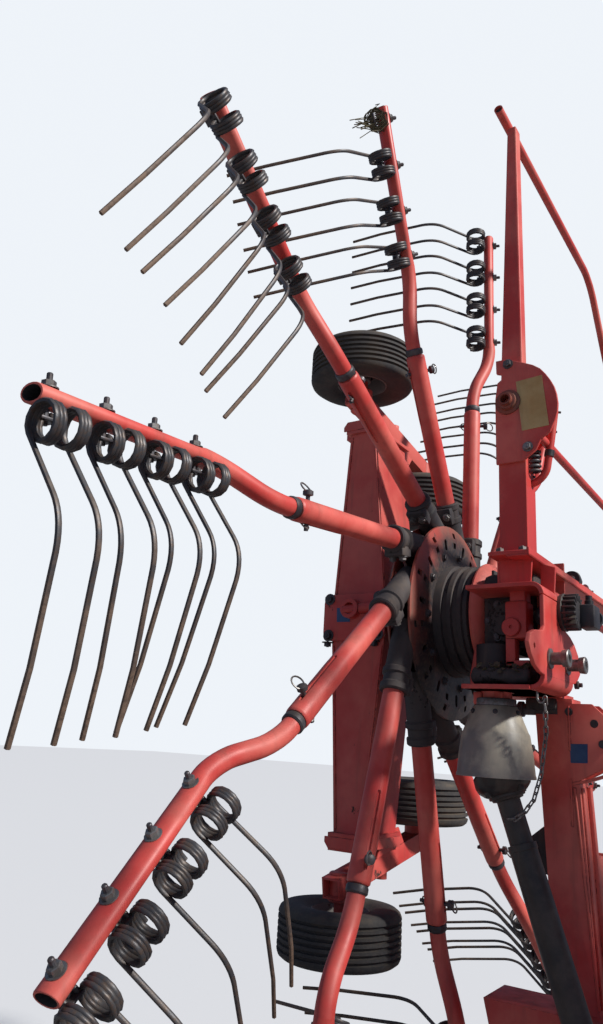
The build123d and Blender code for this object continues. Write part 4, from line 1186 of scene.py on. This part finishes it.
def model_cradle():
    """The C of bent plate, its shaped back, the box under the guard's post and the pins."""
    low, high = -299, 95
    back = plate("back plate", "y", -410, [(-287, 14), (-137, 14), (-120, -20), (-104, -52), (-52, -64),
        (-14, -80), (18, -104), (36, -135), (32, -160), (-6, -186), (-44, -192), (-292, -192), (-326, -188),
        (-366, -174), (-398, -148), (-412, -124), (-398, -100), (-362, -88), (-300, -80), (-287, -68)], 12,
        red_paint, 3)
    for x, z in ((-372, -128), (10, -128)):
        pierce(back, turned("hole", at(x, -420, z), Y, [(0, 7), (30, 7)], black_plastic, 16))
    outline = [(-196, 50), (-372, 50)] + bent_edge(-376, 16, 34, 22) + [(-196, 38)]
    top = plate("top bend", "x", -287, outline, 150, red_paint, 2)
    flat_top = plate("top plate", "z", 38, [(-150, -196), (-150, -396), (95, -396), (95, -196)], 12,
        red_paint, 2)
    outline = [(-190, -215), (-368, -215)] + bent_edge(-372, -189, -26, -38) + [(-190, -227)]
    bottom = plate("bottom bend", "x", -292, outline, 250, red_paint, 2)
    floor_plate = plate("bottom plate", "z", -227, [(low, -190), (low, -372), (high, -372), (high, -190)],
        12, red_paint, 2)
    pierce(floor_plate, turned("boss hole", at(-170, -235, -240), Z, [(0, 50), (50, 50)], red_paint, 32))
    box = [plate(*sizes, 2) for sizes in (
        ("box cheek", "x", -236, [(-272, 126), (-366, 126), (-360, 50), (-276, 50)], 8, red_paint),
        ("box side", "y", -276, [(-236, 126), (80, 126), (80, 45), (-236, 45)], 8, red_paint),
        ("box front", "x", 60, [(-272, 176), (-366, 176), (-366, 45), (-272, 45)], 10, red_paint),
        ("far wall", "y", -357, [(-140, 50), (60, 50), (60, -215), (-140, -215)], 12, dirty_red),
        ("hanger", "x", -170, [(-366, 124), (-408, 110), (-402, 30), (-366, 40)], 10, red_paint),
    )]
    pins = []
    for x in (-249.5, -94.5):
        pins.append(lathed("setting pin", at(x, -408, -146), -Y, [(0, 0), (0, 26), (6, 26), (7, 16),
            (34, 16), (35, 21), (50, 23), (52, 21), (52, 11), (47, 10), (47, 0)], zinc, 28))
    hook = run_of_tube("chain hook", [at(-240, -372, -228), at(-240, -372, -250), at(-240, -386, -258),
        at(-240, -392, -244)], 3.2, zinc, 8, 2)
    lip_bolt = lathed("lip bolt", at(-5, -404, -190), -Y, [(0, 0), (0, 11), (10, 11), (12, 6), (20, 6),
        (20, 0)], dark_bolt, 16)
    mount_pair(joined("cradle_dressed", [back, top, flat_top, bottom, floor_plate, hook, lip_bolt] + box
        + pins), "arm", "red paint", "cradle")


def model_height_drive():
    """The ribbed wheel of the height setting, its black motor and their lines."""
    wheel_centre = at(-128, -410, -8)
    pieces = [lathed("setting wheel", wheel_centre, -Y, [(0, 0), (0, 50), (10, 52), (14, 44), (20, 44),
        (24, 36), (44, 30), (46, 0)], black_plastic, 36)]
    rib = block("wheel rib", (-3, -46, 30), (3, -12, 50), black_plastic, 1.5)
    pieces += [copied(rib, moved(wheel_centre) @ turn) for turn in turns(18, "Y")]
    scrap(rib)
    pieces.append(block("height motor", at(-118, -492, -48), at(-50, -448, 16), black_plastic, 7))
    pieces.append(turned("motor end", at(-50, -470, -14), X, [(0, 26), (20, 26), (24, 20), (34, 18)],
        black_plastic, 24))
    pieces.append(turned("motor plug", at(-80, -470, 14), Z, [(0, 12), (16, 12), (18, 9), (30, 9)],
        black_plastic, 18))
    mount_pair(joined("height_setting", pieces), "arm", "black plastic")
    tube = run_of_tube("setting_tube", [at(-30, -440, -4), at(160, -440, -6), at(330, -440, -10)], 11,
        red_paint, 20, 3)
    mount_pair(tube, "arm", "red paint")


model_guard_frame()
model_guard_hoop()
model_gearbox()
model_cradle()
model_height_drive()


# Guard cone, telescopic drive shaft and its safety chain

def model_shaft_cone():
    outer = [(-263, 52), (-264, 58), (-274, 64), (-298, 73), (-330, 86), (-336, 89.5), (-390, 97.5),
        (-436, 101.5), (-440, 103.5), (-446, 103.5)]
    inner = [(-446, 98.5), (-336, 85), (-298, 68), (-268, 52), (-263, 52)]
    shell = lathed("cone", input_axis, Z, outer + inner, cone_plastic, 64)
    collar = lathed("cone ring", input_axis, Z, [(-244, 46), (-244, 54.5), (-247, 56), (-262, 56),
        (-266, 59), (-270, 60.5), (-270, 46), (-244, 46)], zinc, 48)
    screw = hex_bolt("cone screw", 9, 6, 7, dark_bolt)
    screws = []
    circle = 65.5
    for k in range(6):
        a = math.radians(200 + 60 * k)
        direction = (math.cos(a), math.sin(a), 0.35)
        screws += bolts_on(screw, direction, [(-170 + circle * math.cos(a), -235 + circle * math.sin(a),
            -280)])
    scrap(screw)
    mount_pair(joined("shaft_cone_dressed", [shell, collar] + screws), "arm", "grey plastic", "shaft_cone")


def model_drive_shaft():
    """Two guard tubes, one in the other, each with its cup and yoke at a joint."""
    high = Vector((-170, -235, -400))
    low = Vector((-170, -560, -1390))
    down = (low - high).normalized()
    upper_cup = turned("upper cup", at(*high), down, [(20, 40), (26, 60), (38, 73), (62, 74), (76, 69),
        (88, 56), (94, 44), (104, 40), (106, 30.5), (360, 29.5)], shaft_plastic, 40)
    collar = turned("upper collar", at(*high), down, [(90, 45), (91, 47.5), (98, 47.5), (99, 44)],
        shaft_plastic, 36)
    yoke = turned("upper yoke", at(*high), down, [(-36, 20), (-20, 34), (20, 34), (50, 26)], hub_grime, 24)
    lug = block("cup lug", (-8, -10, -6), (8, 10, 12), shaft_plastic, 3)
    lugs = []
    for k in range(4):
        turn = aimed(down) @ Matrix.Rotation(math.tau * k / 4 + 0.5, 4, "Z")
        lugs.append(copied(lug, moved(at(*(high + down * 80))) @ turn @ moved((0, 56, 0))))
    scrap(lug)
    inner_shaft = turned("profile shaft", at(*high), down, [(340, 23.5), (980.5, 23.5)], zinc, 3)
    mount_pair(joined("shaft_rod_dressed", [upper_cup, collar, yoke, inner_shaft] + lugs), "shaft_rod",
        "black plastic", "drive_shaft_rod")
    back = -down
    tube = lathed("outer guard tube", at(*low), back, [(120, 30), (120, 35.5), (812, 35.5), (814, 37),
        (828, 37), (829, 35.8), (829, 32), (120, 30)], shaft_plastic, 40)
    lower_cup = turned("lower cup", at(*low), back, [(22, 40), (28, 60), (44, 72), (68, 73), (84, 68),
        (100, 55), (108, 45), (126, 42), (128, 35.8)], shaft_plastic, 40)
    lower_yoke = turned("lower yoke", at(*low), back, [(-36, 18), (-24, 31), (24, 34), (40, 28)], hub_grime,
        24)
    mount_pair(joined("shaft_tube_dressed", [tube, lower_cup, lower_yoke]), "shaft_tube", "black plastic",
        "drive_shaft_tube")


def model_safety_chain():
    """Short zinc links hung from the cradle's hook to the guard tube."""
    oval = []
    for k in range(13):
        a = math.tau * k / 12
        stretch = 6.8 if math.sin(a) > 0 else -6.8
        oval.append(Vector((5.2 * math.cos(a), 0, 5.2 * math.sin(a) + stretch)))
    link = run_of_tube("link", oval, 2.1, zinc, sides=1)
    route = [Vector(p) for p in ((-240, -392, -250), (-230, -389, -334), (-225, -372, -431),
        (-220, -351, -491), (-215, -324, -525), (-210, -300, -541), (-200, -272, -545))]
    places = []
    spare = 0
    link_pitch = 18.5
    for start, end in zip(route, route[1:]):
        length = (end - start).length
        while spare < length:
            places.append((start.lerp(end, spare / length), (end - start).normalized()))
            spare += link_pitch
        spare -= length
    links = []
    for number, (place, direction) in enumerate(places):
        spin = Matrix.Rotation(math.pi / 2 * (number % 2) + 0.3, 4, "Z")
        links.append(copied(link, moved(at(*place)) @ aimed(direction) @ spin))
    scrap(link)
    mount_pair(joined("safety_chain", links), "arm", "galvanised")


# Fold arm with its cheeks, and the fold cylinder

def model_fold_arm():
    bore = turned("hinge bore", (-420, hinge_y, hinge_z), X, [(0, 25.7), (300, 25.7)], red_paint, 40)
    pieces = [pierce(softened_node("fold_arm_left", 4, red_paint), bore)]
    pieces.append(bar("front strip", at(26, -407.5, -462), at(26, -436.5, -985), (26, 6), red_paint, Y, 2))
    pieces.append(bar("side strip", at(82, -407.5, -460), at(82, -437.5, -985), (22, 16), red_paint, Y, 3))
    pieces.append(run_of_tube("corner weld", [at(-1, -392, -462), at(-1, -433, -985)], 3.5, red_paint))
    for z in (-246, -440):
        pieces.append(run_of_tube("cheek weld", [at(-0.5, -383, z), at(-0.5, -383, z - 120)], 3, red_paint))
    fold = [(-384, -449), (-384, -456), (-432, -444), (-468, -431), (-519, -379), (-519, -372),
        (-466, -424), (-431, -437)]
    pieces.append(plate("cheek fold", "x", -1, fold, 36, red_paint, 1.5))
    pieces.append(lathed("lock eye", at(33, -254, -640), -X, [(0, 11), (0, 24), (8, 23), (10, 16), (10, 11),
        (0, 11)], hub_grime, 24))
    pieces.append(plate("greasy lug", "x", 32, [(-312, -556), (-240, -614), (-228, -636), (-236, -660),
        (-316, -700)], 26, hub_grime, 4))
    pieces.append(turned("lock pin", at(20, -254, -640), -X, [(-30, 10.5), (14, 10.5), (17, 8)], red_paint,
        20))
    pieces.append(block("greasy pad", at(-12, -352, -262), at(86, -262, -224), hub_grime, 12))
    pieces.append(turned("greasy collar", at(37, -307, -222), -Z, [(0, 40), (12, 46), (26, 46), (34, 40)],
        hub_grime, 32))
    pieces.append(turned("pivot pin", at(10, -352, -258), Y, [(0, 16), (98, 16), (99, 22), (112, 22),
        (116, 16)], dark_bolt, 24))
    for y, z in ((-383, -262), (-450, -292), (-470, -345)):
        pieces.append(lathed("cheek bush", at(0, y, z), -X, [(0, 0), (0, 11), (3, 10), (3, 6), (1, 0)],
            dark_bolt, 20))
    mount_pair(joined("fold_arm_dressed", pieces), "arm", "red paint", "fold_arm")
    label = plate("blank_badge", "x", -0.4, [(-383, -348), (-431, -346), (-429, -396), (-384, -398)],
        label_step, plate_blue, 0.4)
    mount_pair(label, "arm", "black plastic")


def model_fold_cylinder():
    base = Vector((190, -840, -1250))
    eye = Vector((190, -360, -700))
    along = (eye - base).normalized()
    eye_ring = [(-25, 20.2), (-25, 34), (-23, 36), (23, 36), (25, 34), (25, 20.2), (-25, 20.2)]
    barrel = lathed("barrel", at(*base), along, [(48, 0), (48, 30), (74, 36), (78, 40), (560, 40),
        (562, 42.5), (596, 42.5), (600, 40), (600, 20.6), (90, 20.6), (90, 0)], black_paint, 48)
    eye_end = lathed("barrel eye", at(*base), X, eye_ring, black_paint, 40)
    neck = turned("barrel neck", at(*base), along, [(33, 21), (60, 23)], black_paint, 28)
    ports = []
    for d in (100, 575):
        spot = base + along * d
        ports.append(turned("port", at(*spot), -X, [(30, 13), (52, 13), (54, 10), (66, 10)], zinc, 20))
    route = [at(*(base + along * d + X * x)) for d, x in ((100, -62), (130, -66), (300, -66), (575, -62))]
    line = run_of_tube("steel line", route, 6, zinc, 12, 2)
    mount_pair(joined("cylinder_barrel_dressed", [barrel, eye_end, neck, line] + ports), "barrel",
        "black paint", "fold_cylinder_barrel")
    back = -along
    rod_eye = lathed("rod eye", at(*eye), X, eye_ring, black_paint, 40)
    rod_neck = turned("rod neck", at(*eye), back, [(33, 19.5), (52, 24), (64, 24), (68, 20)], dark_bolt, 28)
    rod = turned("rod", at(*eye), back, [(60, 20), (640, 20), (644.5, 18)], chrome, 40)
    mount_pair(joined("cylinder_rod_dressed", [rod_eye, rod_neck, rod]), "rod", "bright steel",
        "fold_cylinder_rod")


# Undercarriage beam and bogies

def model_undercarriage():
    pieces = [softened_node("axle_beam_left", 5, chipped_red)]
    for side in (1, -1):
        for y_mid, y_end in ((150, 202), (324, 288)):
            pieces.append(run_of_tube("beam weld", [at(-110.5, y_mid, side * 85),
                at(-110.5, y_end, side * 630)], 3, chipped_red))
        pieces.append(plate("beam cap", "x", -118, [(180, side * 652), (180, side * 668), (196, side * 686),
            (304, side * 686), (318, side * 668), (318, side * 652)], -6, chipped_red, 2))
    head = hex_bolt("beam bolt", 22, 14, 19, dark_bolt)
    pieces += bolts_on(head, -X, [(-122, 160, 66), (-122, 340, 66), (-122, 160, -52), (-122, 340, -52)])
    pieces += bolts_on(head, -Z, [(-116, 345, -72), (-116, 175, -72)])
    pieces += bolts_on(head, Z, [(-80, 200, 652), (-80, 290, 652)])
    pieces += bolts_on(head, -Z, [(-80, 200, -652), (-80, 290, -652)])
    pieces.append(turned("height tube", at(-136, 262, 26), (0.15, -1, 0.12),
        [(-16, 17), (105, 17), (107, 14)], chipped_red, 24))
    scrap(head)
    mount_pair(joined("axle_beam_dressed", pieces), "arm", "red paint", "axle_beam")
    label = plate("blank_marker", "x", -122.2, [(312, 37), (263, 35), (261, -10), (310, -9)], label_step,
        plate_blue, 0.4)
    mount_pair(label, "arm", "black plastic")
    pieces = [softened_node("bogies_left", 4, chipped_red)]
    for side in (1, -1):
        for x, z in ((-35, 800), (469, 685)):
            pieces.append(turned("axle boss", at(x, wheel_drop, side * z), Z * side,
                [(-42, 34), (-38, 38), (38, 38), (42, 34)], chipped_red, 32))
        pieces.append(plate("bogie gusset", "y", 274, [(120, side * 730), (310, side * 690),
            (270, side * 640), (170, side * 650)], -6, chipped_red, 2))
    mount_pair(joined("bogies_dressed", pieces), "arm", "red paint", "bogies")


model_shaft_cone()
model_drive_shaft()
model_safety_chain()
model_fold_arm()
model_fold_cylinder()
model_undercarriage()


# Centre of the machine: frame, axle, gearbox, input line, hitch and jack

def pin_ends(name, places, direction, radius, material):
    """A washer and a domed end on both ends of a pin."""
    ends = []
    for place, sign in places:
        ends.append(turned(name, place, Vector(direction) * sign, [(-2, radius * 1.35), (4, radius * 1.35),
            (5, radius), (16, radius), (20, radius * 0.86)], material, 28))
    return ends


def model_main_frame():
    bore = turned("swivel bore", (swivel_x, 0, 780), Z, [(0, 35.7), (300, 35.7)], red_paint, 40)
    pieces = [pierce(softened_node("main_frame", 5, red_paint), bore)]
    for side in (1, -1):
        hinge = [((-376, side * hinge_y, hinge_z), -1), ((-164, side * hinge_y, hinge_z), 1)]
        pieces += pin_ends("hinge pin", hinge, X, 25, dark_bolt)
        barrel = [((-159, side * 140, 800), -1), ((-61, side * 140, 800), 1)]
        pieces += pin_ends("cylinder pin", barrel, X, 20, dark_bolt)
        for x in (-341, -199):
            pieces.append(sheet_metal("cross gusset", [(x, side * 79, 798), (x, side * 300, 798),
                (x, side * 79, 930)], (10 if x < -270 else -10, 0, 0), red_paint))
        pieces.append(run_of_tube("cross weld", [(-341, side * 81, 800), (-341, side * 81, 840)], 3,
            red_paint))
    cap = block("rear cap", (-2238, -76, 844), (-2228, 76, 996), black_plastic, 4)
    front = lathed("swivel ring", (swivel_x, 0, 0), Z, [(998, 36.2), (998, 62), (1002, 64), (1004.5, 62),
        (1004.5, 36.2), (998, 36.2)], red_paint, 40)
    strap = block("line clip", (-12, -84, 930), (12, -78, 985), zinc, 2)
    clips = [copied(strap, moved((x, 0, 0))) for x in (-1600, -900, 400, 1100, 1600)]
    lines = [run_of_tube("steel line", [(-110, -84, z), (400, -84, z), (2000, -84, z)], 6, zinc, 0, 2)
        for z in (945, 968)]
    scrap(strap)
    mount(joined("main_frame_dressed", pieces + [cap, front] + clips + lines), "frame", "red paint",
        "main_frame")


def model_transport_axle():
    pieces = [softened_node("transport_axle", 5, red_paint)]
    for side in (1, -1):
        pieces.append(turned("axle hub", (axle_x, 0, axle_z), Y * side,
            [(712, 50), (716, 66), (752, 66), (756, 56), (800, 56)], hub_grime, 36))
        for x in (-2207, -2093):
            pieces.append(sheet_metal("post gusset", [(x, side * 78, 436), (x, side * 260, 436),
                (x, side * 78, 640)], (8 if x < axle_x else -8, 0, 0), red_paint))
    clamp = block("axle clamp", (-2255, -90, 560), (-2045, 90, 574), red_paint, 3)
    head = hex_bolt("clamp bolt", 24, 15, 20, zinc)
    bolts = []
    for x in (-2235, -2065):
        for y in (-70, 70):
            bolts.append(copied(head, moved((x, y, 574))))
    scrap(head)
    mount(joined("transport_axle_dressed", pieces + [clamp] + bolts), "frame", "red paint",
        "transport_axle")


def model_centre_gearbox():
    pieces = [
        block("centre housing", (-570, -140, 575), (-370, 140, 800), red_paint, 22),
        block("centre hanger", (-560, -75, 780), (-380, 75, 840), red_paint, 6),
    ]
    head = hex_bolt("housing bolt", 15, 10, 12, dark_bolt)
    circle = 68
    for side in (1, -1):
        pieces.append(turned("side cover", (-470, 0, 660), Y * side, [(132, 76), (146, 76), (149, 60),
            (190, 50), (194, 36), (206, 34), (208, 22.5), (381.5, 22.5)], red_paint, 36))
        for k in range(6):
            a = math.tau * k / 6
            spot = (-470 + circle * math.cos(a), side * 146, 660 + circle * math.sin(a))
            pieces.append(copied(head, moved(spot) @ aimed(Y * side)))
        pieces.append(block("housing rib", (-575, side * 70 - 6, 570), (-365, side * 70 + 6, 790),
            red_paint, 4))
    pieces.append(turned("input cover", (-380, 0, 610), X, [(0, 52), (16, 50), (18, 36)], red_paint, 32))
    pieces.append(turned("fill plug", (-520, 100, 797), Z, [(0, 14), (12, 14), (16, 9), (26, 9)], dark_bolt,
        16))
    scrap(head)
    mount(joined("centre_gearbox_dressed", pieces), "frame", "red paint", "centre_gearbox")


def model_input_line():
    start = (0, 0, 610)
    tube = lathed("input tube", start, X, [(-366, 0), (-366, 34), (-340, 34), (-336, 29), (2100, 29),
        (2104, 34), (2128, 34), (2130, 19), (2140, 17.5), (2238, 17.5), (2240, 16.5), (2240, 0)],
        shaft_plastic, 32)
    spline = block("spline", (2170, -2.2, 15), (2236, 2.2, 17.2), zinc, 0.6)
    splines = [copied(spline, moved(start) @ turn) for turn in turns(6, "X")]
    shield = lathed("stub shield", start, X, [(2082, 36), (2082, 58), (2110, 70), (2180, 78), (2180, 74),
        (2112, 66), (2086, 54), (2086, 36), (2082, 36)], black_plastic, 40)
    pieces = [tube, shield] + splines
    scrap(spline)
    for x in (600, 2000):
        pieces.append(block("hanger", (x - 6, -38, 640), (x + 6, 38, 842), red_paint, 3))
        pieces.append(lathed("hanger ring", (x, 0, 610), X, [(-10, 30), (-10, 40), (10, 40), (10, 30),
            (-10, 30)], red_paint, 32))
        pieces.append(block("hanger foot", (x - 28, -38, 832), (x + 6, 38, 840), red_paint, 2))
    mount(joined("input_line_dressed", pieces), "frame", "black plastic", "input_line")


def model_headstock():
    pieces = [softened_node("headstock", 6, red_paint)]
    pieces.append(turned("swivel nut", (swivel_x, 0, 1026), Z, [(-2, 52), (6, 52), (8, 36), (26, 34),
        (28, 28)], dark_bolt, 6, 20))
    head = hex_bolt("plate bolt", 24, 15, 20, zinc)
    for side in (1, -1):
        pieces.append(turned("hitch pin", (2485, side * 395, 640), Y * side,
            [(-8, 26), (12, 26), (26, 23.5), (30, 14.4), (100, 14.2), (105, 11)], zinc, 32))
        clip = ring([(-4, 0), (0, 14.5), (12, 20), (28, 20), (38, 12), (40, 0)])
        pieces.append(run_of_tube("pin clip", [(2485 + z, side * 486, 640 + x) for x, z in clip], 2.2, zinc,
            sides=1))
        for z in (860, 980):
            turn = Matrix.Rotation(-side * math.pi / 2, 4, "X")
            pieces.append(copied(head, moved((2315, side * 420.5, z)) @ turn))
        pieces.append(sheet_metal("link brace", [(2355, side * 394, 800), (2355, side * 250, 846),
            (2355, side * 394, 640)], (10, 0, 0), red_paint))
    pieces.append(run_of_tube("hose rest", [(2300, -60, 1020), (2300, -60, 1160), (2300, 60, 1160),
        (2300, 60, 1020)], 8, red_paint, 40, 3))
    scrap(head)
    mount(joined("headstock_dressed", pieces), "headstock", "red paint", "headstock")


def model_jack():
    pieces = [softened_node("jack_tube", 4, red_paint)]
    crank = run_of_tube("crank", [(1750, -130, 1150), (1750, -130, 1190), (1750, -230, 1190),
        (1750, -230, 1250)], 7, zinc, 14, 3)
    grip = turned("crank grip", (1750, -230, 1200), Z, [(0, 12), (4, 14), (74, 14), (80, 10)],
        black_plastic, 24)
    pieces += [crank, grip]
    mount(joined("jack_tube_dressed", pieces), "frame", "red paint", "jack_tube")
    leg = softened_node("jack_leg", 4, zinc)
    leg.name = "jack_leg_dressed"
    leg.data.name = leg.name
    mount(leg, "jack", "galvanised", "jack_leg")


model_main_frame()
model_transport_axle()
model_centre_gearbox()
model_input_line()
model_headstock()
model_jack()


# Plant remains caught on the machine

def model_grass_wad():
    """A small wad of dry grass wound round one arm's outermost bolt."""
    place = arm_place(2, arm_lifts[2]) @ moved(stretch_at(last_bolt))
    strands = []
    chance = random.Random(7)
    for _ in range(34):
        turn = chance.uniform(0, math.tau)
        lean = chance.uniform(-0.5, 0.5)
        size = chance.uniform(20, 34)
        points = []
        for k in range(7):
            a = turn + k * chance.uniform(0.5, 0.8)
            points.append(Vector((lean * 30 + size * 0.8 * math.cos(a) + chance.uniform(-4, 4),
                12 + size * 0.5 * math.sin(a) + chance.uniform(-4, 4), -30 + size * math.sin(a + lean))))
        if chance.random() < 0.3:
            points.append(points[-1] + Vector((chance.uniform(-20, 20), 10, chance.uniform(-60, -30))))
        strands.append(run_of_tube("strand", points, 1.6, dry_grass, sides=0))
    wad = joined("grass_wad_left", strands)
    wad.data.transform(in_metres(place))
    mount(wad, "rotor_left", "tine steel")


def model_leaf_litter():
    """Old leaves on a heap of dark litter that fills the cradle's floor behind the gearbox."""
    lumps = bpy.data.textures.new("lumps", "CLOUDS")
    lumps.noise_scale = 35 * mm
    heap = joined("heap", [block("heap", at(-270, -362, -211), at(40, -205, -168), hub_grime, 12),
        block("heap", at(-110, -340, -200), at(30, -215, -142), hub_grime, 12)])
    apply_modifier(heap, "REMESH", mode="VOXEL", voxel_size=6 * mm)
    apply_modifier(heap, "DISPLACE", texture=lumps, strength=22 * mm, mid_level=0.6)
    bpy.ops.object.shade_smooth()
    leaf = sheet_metal("leaf", [(0, 11, 0), (5, 4, 2), (5, -4, 2), (0, -11, 0), (-5, -4, 2), (-5, 4, 2)],
        (0, 0, 0.6), dry_grass, 0.2)
    chance = random.Random(11)
    leaves = []
    for _ in range(170):
        forward = chance.random()
        spot = at(-272 + 290 * forward, -364 + 150 * chance.random(), -182 + 26 * forward
            + 22 * chance.random())
        turn = Matrix.Rotation(chance.uniform(0, math.tau), 4, "Z") @ Matrix.Rotation(chance.uniform(-0.9,
            0.9), 4, "X")
        tip = Matrix.Rotation(chance.uniform(-0.8, 0.8), 4, "Y")
        grow = Matrix.Scale(chance.uniform(0.8, 1.6), 4)
        leaves.append(copied(leaf, moved(spot) @ turn @ tip @ grow))
    scrap(leaf)
    mount(joined("leaf_litter_left", [heap] + leaves), "arm_left", "hub")


model_grass_wad()
model_leaf_litter()
